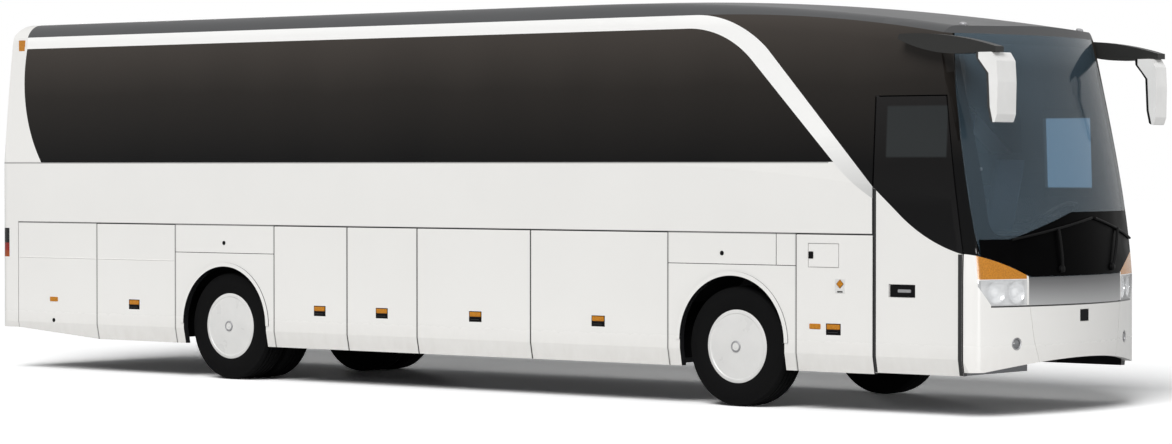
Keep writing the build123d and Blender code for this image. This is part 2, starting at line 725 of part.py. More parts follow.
save(screen_frame.part, "windscreen_frame")

# Roof above the seam
with BuildPart() as roof:
    with BuildSketch(Plane.XZ.offset(WIDTH)):
        with BuildLine():
            Polyline(
                SEAM_ARC[2],
                (REAR_X - OVERSHOOT, ROOF_SEAM_Z),
                (REAR_X - OVERSHOOT, HEIGHT + OVERSHOOT),
                (FRONT_X + OVERSHOOT, HEIGHT + OVERSHOOT),
                (FRONT_X + OVERSHOOT, FRONT_SEAM_Z),
                PILLAR_HEAD,
            )
            ThreePointArc(*SEAM_ARC)
        make_face()
    extrude(amount=2 * WIDTH, dir=(0, 1, 0))
    add(shell.part, mode=Mode.INTERSECT)
save(roof.part, "roof")

# Rear: corner shell with window, lamps and the engine lid on its claw hinge
REAR_FOOT_Z = SKIRT_Z + 88.0
REAR_WINDOW = (HALF_WIDTH - 295.0, WAIST_Z + 100.0, ROOF_SEAM_Z - 320.0)
REAR_WINDOW_FRAME = 70.0
LID_HALF_W = HALF_WIDTH - 425.0
LID_FOOT_Z = 570.0
LID_HINGE_Z = 1600.0
LOUVRE_COUNT = 8
LOUVRE_PITCH = 60.0
LOUVRE_SIZE = (LID_HALF_W - 150.0, 22.0, 24.0)
LOUVRE_FOOT_Z = 900.0
TAIL_LAMP_Y = (HALF_WIDTH - 265.0, HALF_WIDTH + 55.0)
TAIL_LAMP_Z = (1130.0, 1420.0)
TAIL_LAMP_WRAP = 150.0


def rear_panel(y0, y1, z0, z1):
    return box_between((REAR_X - OVERSHOOT, y0, z0), (REAR_SEAM_X, y1, z1))


with BuildPart() as rear_glass:
    add(rear_panel(-REAR_WINDOW[0], REAR_WINDOW[0], *REAR_WINDOW[1:]))
    add(skin_layer.part, mode=Mode.INTERSECT)
save(rear_glass.part, "rear_window")
with BuildPart() as tail_lamp:
    low = (REAR_X - OVERSHOOT, -TAIL_LAMP_Y[1], TAIL_LAMP_Z[0])
    add(box_between(low, (REAR_X + TAIL_LAMP_WRAP, -TAIL_LAMP_Y[0], TAIL_LAMP_Z[1])))
    add(shell.part, mode=Mode.INTERSECT)
save(both_sides(tail_lamp.part), "tail_lamps")
with BuildPart() as rear_wall:
    add(rear_panel(-WIDTH, WIDTH, REAR_FOOT_Z, ROOF_SEAM_Z))
    add(shell.part, mode=Mode.INTERSECT)
    add(rear_glass.part, mode=Mode.SUBTRACT)
    add(tail_lamp.part, mode=Mode.SUBTRACT)
    add(mirrored(tail_lamp.part), mode=Mode.SUBTRACT)
    add(
        rear_panel(
            REAR_WINDOW_FRAME - REAR_WINDOW[0],
            REAR_WINDOW[0] - REAR_WINDOW_FRAME,
            REAR_WINDOW[1] + REAR_WINDOW_FRAME,
            REAR_WINDOW[2] - REAR_WINDOW_FRAME,
        ),
        mode=Mode.SUBTRACT,
    )
    add(
        rear_panel(
            -LID_HALF_W - PANEL_GAP,
            LID_HALF_W + PANEL_GAP,
            LID_FOOT_Z - PANEL_GAP,
            LID_HINGE_Z + CLAW_R + PANEL_GAP,
        ),
        mode=Mode.SUBTRACT,
    )
save(rear_wall.part, "rear_wall")
with BuildPart() as lid:
    with BuildSketch(Plane.XZ.offset(LID_HALF_W)):
        with Locations((REAR_X, LID_FOOT_Z)):
            Rectangle(LEAF_T, LID_HINGE_Z + FLAP_HEAD_DROP - LID_FOOT_Z, align=(Align.MIN, Align.MIN))
        add(claw_profile(REAR_X, LID_HINGE_Z))
    extrude(amount=2 * LID_HALF_W, dir=(0, 1, 0))
    half_l, depth, high = LOUVRE_SIZE
    for n in range(LOUVRE_COUNT):
        foot = LOUVRE_FOOT_Z + n * LOUVRE_PITCH
        low = (REAR_X - depth, -half_l, foot)
        add(box_between(low, (REAR_X + depth, half_l, foot + high)), mode=Mode.SUBTRACT)
save(lid.part, "engine_lid")

# Fixed lower panels: behind the rear flap, round the wheels, and beside the driver
with BuildPart() as engine_panel:
    add(
        right_polygon(
            (REAR_SEAM_X, REAR_FOOT_Z),
            (ENGINE_PANEL_X, SKIRT_Z),
            (ENGINE_PANEL_X, WALL_FOOT_Z),
            (REAR_SEAM_X, WALL_FOOT_Z),
        )
    )
    add(shell.part, mode=Mode.INTERSECT)
    add(side_seam(REAR_SEAM_X, ENGINE_PANEL_X, FLAP_TOP_Z, WALL_FOOT_Z), mode=Mode.SUBTRACT)
    add(side_seam(REAR_SEAM_X, REAR_SEAM_X + SEAM_W, SKIRT_Z, WALL_FOOT_Z), mode=Mode.SUBTRACT)
save(both_sides(engine_panel.part), "engine_side_panels")

Arch = namedtuple("Arch", "axle_x back front top_z service_ends")
ARCHES = [
    Arch(FRONT_AXLE_X, FRONT_ARCH_BACK_X, FRONT_ARCH_FRONT_X, FRONT_ARCH_TOP_Z, [SERVICE_SPLIT_X]),
    Arch(REAR_AXLE_X, REAR_ARCH_BACK_X, REAR_ARCH_FRONT_X, REAR_ARCH_TOP_Z, []),
]
arch_panels = []
for arch in ARCHES:
    centre_z = arch.top_z - ARCH_HALF_W
    lip_width, lip_rise = ARCH_LIP
    with BuildPart() as arch_panel:
        add(right_slab(arch.back, arch.front, SKIRT_Z, WALL_FOOT_Z, WALL_T))
        with BuildSketch(Plane.XZ.offset(HALF_WIDTH - lip_rise)):
            with Locations((arch.axle_x, centre_z)):
                Circle(ARCH_HALF_W + lip_width)
                Rectangle(WHEELBASE, WHEELBASE, align=(Align.CENTER, Align.MAX), mode=Mode.SUBTRACT)
        extrude(amount=2 * lip_rise, dir=(0, -1, 0))
        with BuildSketch(Plane.XZ.offset(HALF_WIDTH / 2)):
            with Locations((arch.axle_x, centre_z)):
                Circle(ARCH_HALF_W)
                Rectangle(2 * ARCH_HALF_W, 2 * centre_z, align=(Align.CENTER, Align.MAX))
        extrude(amount=HALF_WIDTH, dir=(0, -1, 0), mode=Mode.SUBTRACT)
        add(side_seam(arch.back, arch.front, FLAP_TOP_Z, WALL_FOOT_Z), mode=Mode.SUBTRACT)
        add(side_seam(arch.back, arch.front, SERVICE_LINE_Z, SERVICE_LINE_Z + SEAM_W), mode=Mode.SUBTRACT)
        for end_x in arch.service_ends:
            add(side_seam(end_x, end_x + SEAM_W, SERVICE_LINE_Z, FLAP_TOP_Z), mode=Mode.SUBTRACT)
    arch_panels.extend(arch_panel.part.solids())
save(both_sides(Compound(children=arch_panels)), "wheel_arch_panels")

with BuildPart() as driver_side:
    add(
        right_polygon(
            (DOOR_REAR_X, SKIRT_Z),
            (DOOR_FRONT_X + PANEL_GAP, SKIRT_Z),
            (DOOR_FRONT_X + PANEL_GAP, CORNER_TOP_Z),
            (DOOR_FRONT_X, CORNER_TOP_Z),
            (DOOR_FRONT_X, WALL_FOOT_Z),
            (DOOR_REAR_X, WALL_FOOT_Z),
        )
    )
    add(shell.part, mode=Mode.INTERSECT)
    add(band.part, mode=Mode.SUBTRACT)
    add(side_seam(DOOR_REAR_X, DOOR_REAR_X + SEAM_W, SKIRT_Z, WALL_FOOT_Z), mode=Mode.SUBTRACT)
save(mirrored(driver_side.part), "driver_side_panel")

# Luggage and service flaps, all of one section, with the hinge rails they hang on
for flap in FLAPS:
    with BuildPart() as panel:
        back = flap.back + PANEL_GAP / 2
        front = flap.front - PANEL_GAP / 2
        add(right_slab(back, front, SKIRT_Z, FLAP_HEAD_Z, LEAF_T))
        with BuildSketch(Plane.YZ.offset(back)):
            add(claw_profile(-HALF_WIDTH, HINGE_Z))
        extrude(amount=front - back, dir=(1, 0, 0))
        handle_x = flap.back + flap.handle_share * (flap.front - flap.back)
        with Locations((handle_x, -HALF_WIDTH, HANDLE_Z)):
            Box(HANDLE_SIZE[0], 2 * HANDLE_DEPTH, HANDLE_SIZE[1], mode=Mode.SUBTRACT)
    save(mirrored(panel.part), flap.name + "_left")
    if flap.name == "front_flap":
        with BuildPart() as fuel_seam:
            add(side_seam(*FUEL_LID))
            back, front, foot, head = FUEL_LID
            add(side_seam(back + SEAM_W, front - SEAM_W, foot + SEAM_W, head - SEAM_W), mode=Mode.SUBTRACT)
        with panel:
            add(fuel_seam.part, mode=Mode.SUBTRACT)
    save(panel.part, flap.name + "_right")

rail_runs = [
    (ENGINE_PANEL_X, REAR_ARCH_BACK_X),
    (REAR_ARCH_FRONT_X, FRONT_ARCH_BACK_X),
    (FRONT_ARCH_FRONT_X, DOOR_REAR_X - PANEL_GAP),
]
with BuildPart() as rails:
    for back, front in rail_runs:
        with BuildSketch(Plane.YZ.offset(back)):
            add(rail_profile(-HALF_WIDTH, HINGE_Z, -INNER_Y))
        extrude(amount=front - back, dir=(1, 0, 0))
with BuildPart() as lid_rail:
    with BuildSketch(Plane.XZ.offset(LID_HALF_W)):
        add(rail_profile(REAR_X, LID_HINGE_Z, REAR_X + WALL_T))
    extrude(amount=2 * LID_HALF_W, dir=(0, 1, 0))
save(Compound(children=[*both_sides(rails.part).solids(), *lid_rail.part.solids()]), "hinge_rails")

# Passenger door on a swinging post: the leaf keeps parallel to the side as it moves out and forward
DOOR_ARM_START_DEG = 6.0
post_x, post_y = DOOR_POST
swing = radians(DOOR_ARM_START_DEG)
leaf_pin_x = post_x - DOOR_ARM_R * cos(swing)
leaf_pin_y = post_y - DOOR_ARM_R * sin(swing)
arm_middle = ((post_x + leaf_pin_x) / 2, -(post_y + leaf_pin_y) / 2)
lug_reach = HALF_WIDTH - LEAF_T - leaf_pin_y
with BuildPart() as door_skin:
    add(door_region)
    add(leaf_layer.part, mode=Mode.INTERSECT)
with BuildPart() as door_pane:
    add(band_region)
    add(skin_layer.part, mode=Mode.INTERSECT)
    add(stripe_region, mode=Mode.SUBTRACT)
    add(door_region, mode=Mode.INTERSECT)
save(door_pane.part, "door_glass")
with BuildPart() as door_leaf:
    add(door_skin.part)
    add(door_pane.part, mode=Mode.SUBTRACT)
    add(window_cut(DOOR_WINDOW), mode=Mode.SUBTRACT)
    add(side_seam(*DOOR_HANDLE), mode=Mode.SUBTRACT)
    for z in DOOR_ARM_Z:
        foot = z + ARM_T / 2 + EAR_CLEARANCE
        with BuildSketch(Plane.XY.offset(foot)):
            with Locations((leaf_pin_x, -leaf_pin_y)):
                Circle(DOOR_LUG_R)
            with Locations((leaf_pin_x, -leaf_pin_y)):
                Rectangle(DOOR_LUG_W, lug_reach, align=(Align.CENTER, Align.MAX))
            with Locations((leaf_pin_x, -leaf_pin_y)):
                Circle(DOOR_PIN_R + PIN_CLEARANCE, mode=Mode.SUBTRACT)
        extrude(amount=ARM_T, dir=(0, 0, 1))
save(door_leaf.part, "door_leaf")
with BuildPart() as door_arms:
    with BuildSketch(Plane.XY.offset(POST_FOOT_Z)):
        with Locations((post_x, -post_y)):
            Circle(DOOR_POST_R)
    extrude(amount=POST_HEAD_Z - POST_FOOT_Z, dir=(0, 0, 1))
    for z in DOOR_ARM_Z:
        with BuildSketch(Plane.XY.offset(z - ARM_T / 2)):
            with Locations((post_x, -post_y)):
                Circle(DOOR_LUG_R)
            with Locations((leaf_pin_x, -leaf_pin_y)):
                Circle(DOOR_LUG_R)
            with Locations(Location(arm_middle, -DOOR_ARM_START_DEG)):
                Rectangle(DOOR_ARM_R, 2 * DOOR_POST_R)
        extrude(amount=ARM_T, dir=(0, 0, 1))
        with BuildSketch(Plane.XY.offset(z)):
            with Locations((leaf_pin_x, -leaf_pin_y)):
                Circle(DOOR_PIN_R)
        extrude(amount=DOOR_PIN_L, dir=(0, 0, 1))
save(door_arms.part, "door_arms")

# Wheels and tyres, turned about the axle line
Wheel = namedtuple("Wheel", "end axle_x planes")
WHEELS = [
    Wheel("front", FRONT_AXLE_X, (0.0,)),
    Wheel("rear", REAR_AXLE_X, (0.0, -TWIN_SPACING)),
]
HUB_BACK = -30.0
SPINDLE_TIP = 60.0
DISC_BACK = 60.0
RIM_T = 16.0
RIM_LIP = 8.0
COVER_BACK = 17.0
COVER_EDGE = 24.0
COVER_SHOULDER = 34.0
SPINDLE_END_GAP = 8.0
TYRE_SHAPE = [(RIM_R, 108.0), (400.0, TYRE_W / 2), (TYRE_R, 108.0)]
for wheel in WHEELS:
    axle = Axis((wheel.axle_x, 0, TYRE_R), (0, -1, 0))
    hub_plane = Plane(origin=(wheel.axle_x, -WHEEL_Y, TYRE_R), x_dir=(1, 0, 0), z_dir=(0, 0, 1))
    rim_back = wheel.planes[-1] - RIM_HALF_W
    with BuildPart() as tyres:
        with BuildSketch(hub_plane):
            for plane in wheel.planes:
                with BuildLine():
                    Polyline(
                        *[(r, -plane - a) for r, a in TYRE_SHAPE],
                        *[(r, a - plane) for r, a in reversed(TYRE_SHAPE)],
                        close=True,
                    )
                make_face()
        revolve(axis=axle)
    with BuildPart() as rim:
        with BuildSketch(hub_plane):
            with BuildLine():
                Polyline(
                    (SPINDLE_R + PIN_CLEARANCE, -HUB_BACK),
                    (HUB_R, -HUB_BACK),
                    (HUB_R, -DISC_BACK),
                    (RIM_R - RIM_T, -DISC_BACK),
                    (RIM_R - RIM_T, -rim_back),
                    (RIM_R - FIT_GAP, -rim_back),
                    (RIM_R - FIT_GAP, -RIM_HALF_W - RIM_LIP),
                    (COVER_R, -RIM_HALF_W - COVER_BACK),
                    (COVER_R, -RIM_HALF_W - COVER_EDGE),
                    (COVER_EDGE_R, -RIM_HALF_W - COVER_SHOULDER),
                    (CAP_R, -RIM_HALF_W - COVER_RISE),
                    (CAP_R, -RIM_HALF_W - COVER_RISE - CAP_RISE),
                    (0, -RIM_HALF_W - COVER_RISE - CAP_RISE),
                    (0, -SPINDLE_TIP - SPINDLE_END_GAP),
                    (SPINDLE_R + PIN_CLEARANCE, -SPINDLE_TIP - SPINDLE_END_GAP),
                    close=True,
                )
            make_face()
        revolve(axis=axle)
    save(tyres.part, "tyre_" + wheel.end + "_right")
    save(mirrored(tyres.part), "tyre_" + wheel.end + "_left")
    save(rim.part, "wheel_" + wheel.end + "_right")
    save(mirrored(rim.part), "wheel_" + wheel.end + "_left")

# Steering knuckles on kingpins in the front axle's eyes, joined by the track rod
ear_low = TYRE_R - EYE_HALF_H - EAR_CLEARANCE - EAR_H
ear_high = TYRE_R + EYE_HALF_H + EAR_CLEARANCE
KNUCKLE_WEB_Y = (KINGPIN_Y + 55.0, KINGPIN_Y + 82.0)
ROD_PIN_R = 10.0
ROD_EYE_R = 28.0
ROD_DROP = 8.0
SPINDLE_ROOT = 5.0
with BuildPart() as knuckle:
    for z in (ear_low, ear_high):
        with BuildSketch(Plane.XY.offset(z)):
            with Locations((FRONT_AXLE_X, -KINGPIN_Y)):
                Circle(EYE_R)
                Rectangle(2 * EYE_R, KNUCKLE_WEB_Y[1] - KINGPIN_Y, align=(Align.CENTER, Align.MAX))
        extrude(amount=EAR_H, dir=(0, 0, 1))
    with BuildSketch(Plane.XY.offset(ear_low)):
        with Locations((FRONT_AXLE_X, -KINGPIN_Y)):
            Rectangle(STEER_ARM, 2 * TRACK_ROD_R, align=(Align.MAX, Align.CENTER))
        with Locations((FRONT_AXLE_X - STEER_ARM, -KINGPIN_Y)):
            Circle(ROD_EYE_R)
            Circle(ROD_PIN_R + PIN_CLEARANCE, mode=Mode.SUBTRACT)
    extrude(amount=EAR_H, dir=(0, 0, 1))
    with BuildSketch(Plane.XY.offset(ear_low)):
        with Locations((FRONT_AXLE_X, -KINGPIN_Y)):
            Circle(KINGPIN_R)
        with Locations((FRONT_AXLE_X, -KNUCKLE_WEB_Y[1])):
            Rectangle(2 * EYE_R, KNUCKLE_WEB_Y[1] - KNUCKLE_WEB_Y[0], align=(Align.CENTER, Align.MIN))
    extrude(amount=ear_high + EAR_H - ear_low, dir=(0, 0, 1))
    with BuildSketch(Plane.XZ.offset(KNUCKLE_WEB_Y[1] - SPINDLE_ROOT)):
        with Locations((FRONT_AXLE_X, TYRE_R)):
            Circle(SPINDLE_R)
    extrude(amount=WHEEL_Y + SPINDLE_TIP - KNUCKLE_WEB_Y[1] + SPINDLE_ROOT, dir=(0, -1, 0))
save(knuckle.part, "knuckle_right")
save(mirrored(knuckle.part), "knuckle_left")

ROD_Z = ear_low - TRACK_ROD_R - ROD_DROP
with BuildPart() as track_rod:
    with BuildSketch(Plane.XZ.offset(KINGPIN_Y)):
        with Locations((FRONT_AXLE_X - STEER_ARM, ROD_Z)):
            Circle(TRACK_ROD_R)
    extrude(amount=2 * KINGPIN_Y, dir=(0, 1, 0))
    with BuildSketch(Plane.XY.offset(ROD_Z)):
        with Locations((FRONT_AXLE_X - STEER_ARM, KINGPIN_Y), (FRONT_AXLE_X - STEER_ARM, -KINGPIN_Y)):
            Circle(ROD_PIN_R)
    extrude(amount=ear_low + EAR_H - ROD_Z, dir=(0, 0, 1))
save(track_rod.part, "track_rod")

# Axles and air springs
BEAM_HALF = 45.0
JACK_PAD_R = 40.0
JACK_PAD_H = 12.0
JACK_PAD_Y = KINGPIN_Y - 330.0
AXLE_TUBE_R = 110.0
TUBE_END_GAP = 5.0
DIFF_R = 215.0
SPRING_R = 105.0
SEAT_TOP_Z = 640.0
with BuildPart() as front_axle:
    add(
        box_between(
            (FRONT_AXLE_X - BEAM_HALF, -KINGPIN_Y, TYRE_R - EYE_HALF_H),
            (FRONT_AXLE_X + BEAM_HALF, KINGPIN_Y, TYRE_R + EYE_HALF_H),
        )
    )
    with BuildSketch(Plane.XY.offset(TYRE_R - EYE_HALF_H)):
        with Locations((FRONT_AXLE_X, KINGPIN_Y), (FRONT_AXLE_X, -KINGPIN_Y)):
            Circle(EYE_R)
    extrude(amount=2 * EYE_HALF_H, dir=(0, 0, 1))
    with BuildSketch(Plane.XY.offset(TYRE_R - EYE_HALF_H)):
        with Locations((FRONT_AXLE_X, KINGPIN_Y), (FRONT_AXLE_X, -KINGPIN_Y)):
            Circle(KINGPIN_R + PIN_CLEARANCE)
    extrude(amount=2 * EYE_HALF_H, dir=(0, 0, 1), mode=Mode.SUBTRACT)
    with BuildSketch(Plane.XY.offset(TYRE_R - EYE_HALF_H - JACK_PAD_H)):
        with Locations((FRONT_AXLE_X, JACK_PAD_Y), (FRONT_AXLE_X, -JACK_PAD_Y)):
            Circle(JACK_PAD_R)
    extrude(amount=JACK_PAD_H, dir=(0, 0, 1))
save(front_axle.part, "front_axle")
tube_end = WHEEL_Y + HUB_BACK - TUBE_END_GAP
with BuildPart() as rear_axle:
    with BuildSketch(Plane.XZ.offset(tube_end)):
        with Locations((REAR_AXLE_X, TYRE_R)):
            Circle(AXLE_TUBE_R)
    extrude(amount=2 * tube_end, dir=(0, 1, 0))
    with BuildSketch(Plane.XZ.offset(WHEEL_Y + SPINDLE_TIP)):
        with Locations((REAR_AXLE_X, TYRE_R)):
            Circle(SPINDLE_R)
    extrude(amount=2 * (WHEEL_Y + SPINDLE_TIP), dir=(0, 1, 0))
    with BuildSketch(Plane.XZ.offset(DIFF_R / 2)):
        with Locations((REAR_AXLE_X, TYRE_R)):
            Circle(DIFF_R)
    extrude(amount=DIFF_R, dir=(0, 1, 0))
    for side in (-1, 1):
        low = (REAR_AXLE_X - SPRING_R, side * RAIL_Y - SPRING_R, TYRE_R)
        add(box_between(low, (REAR_AXLE_X + SPRING_R, side * RAIL_Y + SPRING_R, SEAT_TOP_Z)))
    with BuildSketch(Plane.XY.offset(TYRE_R - AXLE_TUBE_R - JACK_PAD_H)):
        with Locations((REAR_AXLE_X, RAIL_Y), (REAR_AXLE_X, -RAIL_Y)):
            Circle(JACK_PAD_R)
    extrude(amount=AXLE_TUBE_R, dir=(0, 0, 1))
save(rear_axle.part, "rear_axle")
springs = []
for axle_x, foot, head in (
    (FRONT_AXLE_X, TYRE_R + EYE_HALF_H, FRONT_RAIL_Z[0]),
    (REAR_AXLE_X, SEAT_TOP_Z, REAR_RAIL_Z[0]),
):
    with BuildPart() as spring:
        with BuildSketch(Plane.XY.offset(foot)):
            with Locations((axle_x, RAIL_Y), (axle_x, -RAIL_Y)):
                Circle(SPRING_R)
        extrude(amount=head - foot, dir=(0, 0, 1))
    springs.extend(spring.part.solids())
save(Compound(children=springs), "air_springs")

# Frame under the floor: luggage floors, bulkheads, posts between flaps, rails at both ends
FLOOR_LOW_Z = FLOOR_TOP_Z - FLOOR_T
BAY_HALF_W = HALF_WIDTH - 90.0
FLOOR_HALF_W = INNER_Y - RAIL_FLANGE[0] - FIT_GAP
HOUSING_OUT_L = HOUSING_HALF_L + HOUSING_T
COMPARTMENT_Y = HOUSING_INNER_Y
BULKHEAD_SET = 3.0
ENTRANCE_SET = 60.0
Bulkhead = namedtuple("Bulkhead", "x inner_y")
BULKHEADS = [
    Bulkhead(REAR_ARCH_BACK_X + BULKHEAD_SET, HALF_WIDTH - 575.0),
    Bulkhead(REAR_ARCH_FRONT_X - BULKHEAD_T - BULKHEAD_SET, 0.0),
    Bulkhead(FRONT_ARCH_BACK_X + BULKHEAD_SET, 0.0),
    Bulkhead(FRONT_ARCH_FRONT_X - BULKHEAD_T - BULKHEAD_SET, COMPARTMENT_Y),
    Bulkhead(DOOR_REAR_X - ENTRANCE_SET, 0.0),
]
BAY_TOP_Z = BAY_FLOOR_Z + BAY_FLOOR_T
FRAME_END_X = REAR_X + 100.0
step_back = BULKHEADS[4].x + BULKHEAD_T
floors = [
    box_between(
        (BULKHEADS[1].x, -BAY_HALF_W, BAY_FLOOR_Z),
        (BULKHEADS[2].x + BULKHEAD_T, BAY_HALF_W, BAY_TOP_Z),
    ),
    box_between(
        (BULKHEADS[3].x, COMPARTMENT_Y, BAY_FLOOR_Z),
        (BULKHEADS[4].x + BULKHEAD_T, BAY_HALF_W, BAY_TOP_Z),
    ),
]
floors.append(mirrored(floors[1]))

bulkhead_foot = BAY_TOP_Z + FIT_GAP
bulkhead_solids = []
for wall_x, inner_y in BULKHEADS:
    with BuildPart() as bulkhead:
        low = (wall_x, -HALF_WIDTH, bulkhead_foot)
        add(box_between(low, (wall_x + BULKHEAD_T, HALF_WIDTH, FLOOR_LOW_Z)))
        if inner_y:
            low = (wall_x - BULKHEAD_T, -inner_y, BAY_FLOOR_Z)
            add(box_between(low, (wall_x + 2 * BULKHEAD_T, inner_y, FLOOR_TOP_Z)), mode=Mode.SUBTRACT)
        add(inner, mode=Mode.INTERSECT)
    bulkhead_solids.extend(bulkhead.part.solids())
half_rails = []
for seam_x in BAY_SEAMS_X:
    low = (seam_x - POST_W / 2, BAY_HALF_W - POST_W, bulkhead_foot)
    half_rails.extend(box_between(low, (seam_x + POST_W / 2, BAY_HALF_W, FLOOR_LOW_Z)).solids())
rail_y = RAIL_Y - RAIL_W / 2
for back, front, (low_z, high_z) in (
    (BULKHEADS[2].x + BULKHEAD_T, BULKHEADS[4].x, FRONT_RAIL_Z),
    (FRAME_END_X, BULKHEADS[1].x, REAR_RAIL_Z),
):
    low = (back + FIT_GAP, rail_y, low_z)
    half_rails.extend(box_between(low, (front - FIT_GAP, rail_y + RAIL_W, high_z)).solids())
floor_solids = [solid for piece in floors for solid in piece.solids()]
rail_solids = both_sides(Compound(children=half_rails)).solids()
save(Compound(children=[*floor_solids, *bulkhead_solids, *rail_solids]), "underframe")

with BuildPart() as floor:
    add(box_between((REAR_X, -FLOOR_HALF_W, FLOOR_LOW_Z), (step_back, FLOOR_HALF_W, FLOOR_TOP_Z)))
    add(inner, mode=Mode.INTERSECT)
save(floor.part, "passenger_floor")

housings = []
for arch in ARCHES:
    with BuildPart() as housing:
        for reach, mode in ((HOUSING_OUT_L, Mode.ADD), (HOUSING_HALF_L, Mode.SUBTRACT)):
            rise = HOUSING_TOP_Z + reach - HOUSING_HALF_L
            with BuildSketch(Plane.XZ.offset(HOUSING_INNER_Y)):
                with BuildLine():
                    Polyline(
                        (arch.axle_x - reach, HOUSING_FOOT_Z),
                        (arch.axle_x - reach, rise - HOUSING_CORNER_R),
                        (arch.axle_x - reach + HOUSING_CORNER_R, rise),
                        (arch.axle_x + reach - HOUSING_CORNER_R, rise),
                        (arch.axle_x + reach, rise - HOUSING_CORNER_R),
                        (arch.axle_x + reach, HOUSING_FOOT_Z),
                        close=True,
                    )
                make_face()
            extrude(amount=INNER_Y - HOUSING_INNER_Y, dir=(0, -1, 0), mode=mode)
        add(inner, mode=Mode.INTERSECT)
    housings.extend(housing.part.solids())
save(both_sides(Compound(children=housings)), "wheel_housings")

# Entrance, driver's place and seats
AISLE_Y = 300.0
AISLE_STEP = (280.0, 140.0)
STEP_FRONT_X = DOOR_FRONT_X - 29.0
STEP_FOOT_Z = STEP_Z[0] - 55.0
STAIR_EDGES_Y = (INNER_Y - 25.0, HALF_WIDTH - 375.0, HALF_WIDTH - 675.0)
stair = [-STAIR_EDGES_Y[0], -STAIR_EDGES_Y[1], -STAIR_EDGES_Y[2], -AISLE_Y]
with BuildPart() as steps:
    with BuildSketch(Plane.YZ.offset(step_back)):
        with BuildLine():
            Polyline(
                (stair[0], STEP_FOOT_Z),
                (stair[0], STEP_Z[0]),
                (stair[1], STEP_Z[0]),
                (stair[1], STEP_Z[1]),
                (stair[2], STEP_Z[1]),
                (stair[2], STEP_Z[2]),
                (stair[3], STEP_Z[2]),
                (stair[3], PLATFORM_Z),
                (INNER_Y, PLATFORM_Z),
                (INNER_Y, PLATFORM_Z - FLOOR_T),
                (stair[3] + FLOOR_T, PLATFORM_Z - FLOOR_T),
                (stair[3] + FLOOR_T, STEP_FOOT_Z),
                close=True,
            )
        make_face()
    extrude(amount=STEP_FRONT_X - step_back, dir=(1, 0, 0))
    high = (step_back + AISLE_STEP[0], AISLE_Y, FLOOR_TOP_Z - AISLE_STEP[1])
    add(box_between((step_back, -AISLE_Y, PLATFORM_Z), high))
    add(inner, mode=Mode.INTERSECT)
save(steps.part, "entrance_steps")

SEAT_BASE = [(150, 0), (150, 280), (270, 290), (270, 410), (-110, 410), (-230, 290), (-150, 280), (-150, 0)]
SEAT_BACK = [(-110, 410), (-250, 1090), (-340, 1090), (-230, 290)]
SEAT_Y = (AISLE_Y + 30.0, HALF_WIDTH - 105.0)
DRIVER_SEAT_Y = (HALF_WIDTH - 855.0, HALF_WIDTH - 375.0)
DRIVER_X = DOOR_REAR_X + 233.0
SEAT_PITCH = 790.0
FIRST_ROW_X = DOOR_REAR_X - 457.0
LAST_ROW_X = REAR_X + 1500.0
SEAT_ROWS = 1 + int((FIRST_ROW_X - LAST_ROW_X) / SEAT_PITCH)


def seat_pair(x, z, y_range):
    """Base and backrest of one double seat, as two solids close together at the back of the cushion."""
    solids = []
    for profile, gap in ((SEAT_BASE, 0.0), (SEAT_BACK, FIT_GAP)):
        with BuildPart() as piece:
            with BuildSketch(Plane.XZ.offset(-y_range[0])):
                with BuildLine():
                    Polyline(*[(x + u - gap, z + v) for u, v in profile], close=True)
                make_face()
            extrude(amount=y_range[1] - y_range[0], dir=(0, 1, 0))
        solids.extend(piece.part.solids())
    return solids


left_rows = []
for n in range(SEAT_ROWS):
    left_rows.extend(seat_pair(FIRST_ROW_X - n * SEAT_PITCH, FLOOR_TOP_Z, SEAT_Y))
driver_seat = seat_pair(DRIVER_X, PLATFORM_Z, DRIVER_SEAT_Y)
save(Compound(children=[*both_sides(Compound(children=left_rows)).solids(), *driver_seat]), "seats")

DASH_BACK_X = FRONT_X - 510.0
DASH_PROFILE = [
    (DASH_BACK_X + 30, PLATFORM_Z),
    (DASH_BACK_X, PLATFORM_Z + 350),
    (DASH_BACK_X + 80, PLATFORM_Z + 450),
    (FRONT_X - 10, PLATFORM_Z + 350),
    (FRONT_X - 10, PLATFORM_Z),
]
WHEEL_CENTRE = (DASH_BACK_X - 190.0, HALF_WIDTH - 615.0, PLATFORM_Z + 550.0)
WHEEL_TILT = 35.0
WHEEL_RING_R = 225.0
WHEEL_RING_W = 30.0
WHEEL_RING_T = 24.0
WHEEL_SPOKE_W = 40.0
WHEEL_BOSS_R = 60.0
COLUMN_R = 30.0
COLUMN_L = 420.0
with BuildPart() as dash:
    with BuildSketch(Plane.XZ.offset(AISLE_Y)):
        with BuildLine():
            Polyline(*DASH_PROFILE, close=True)
        make_face()
    extrude(amount=AISLE_Y + HALF_WIDTH, dir=(0, 1, 0))
    add(inner, mode=Mode.INTERSECT)
    tilt = radians(WHEEL_TILT)
    wheel_plane = Plane(origin=WHEEL_CENTRE, x_dir=(0, 1, 0), z_dir=(-sin(tilt), 0, cos(tilt)))
    with BuildSketch(wheel_plane):
        Circle(WHEEL_RING_R)
        Circle(WHEEL_RING_R - WHEEL_RING_W, mode=Mode.SUBTRACT)
        Rectangle(2 * WHEEL_RING_R - WHEEL_RING_W, WHEEL_SPOKE_W)
        Circle(WHEEL_BOSS_R)
    extrude(amount=WHEEL_RING_T)
    with BuildSketch(wheel_plane):
        Circle(COLUMN_R)
    extrude(amount=-COLUMN_L)
save(dash.part, "dashboard")

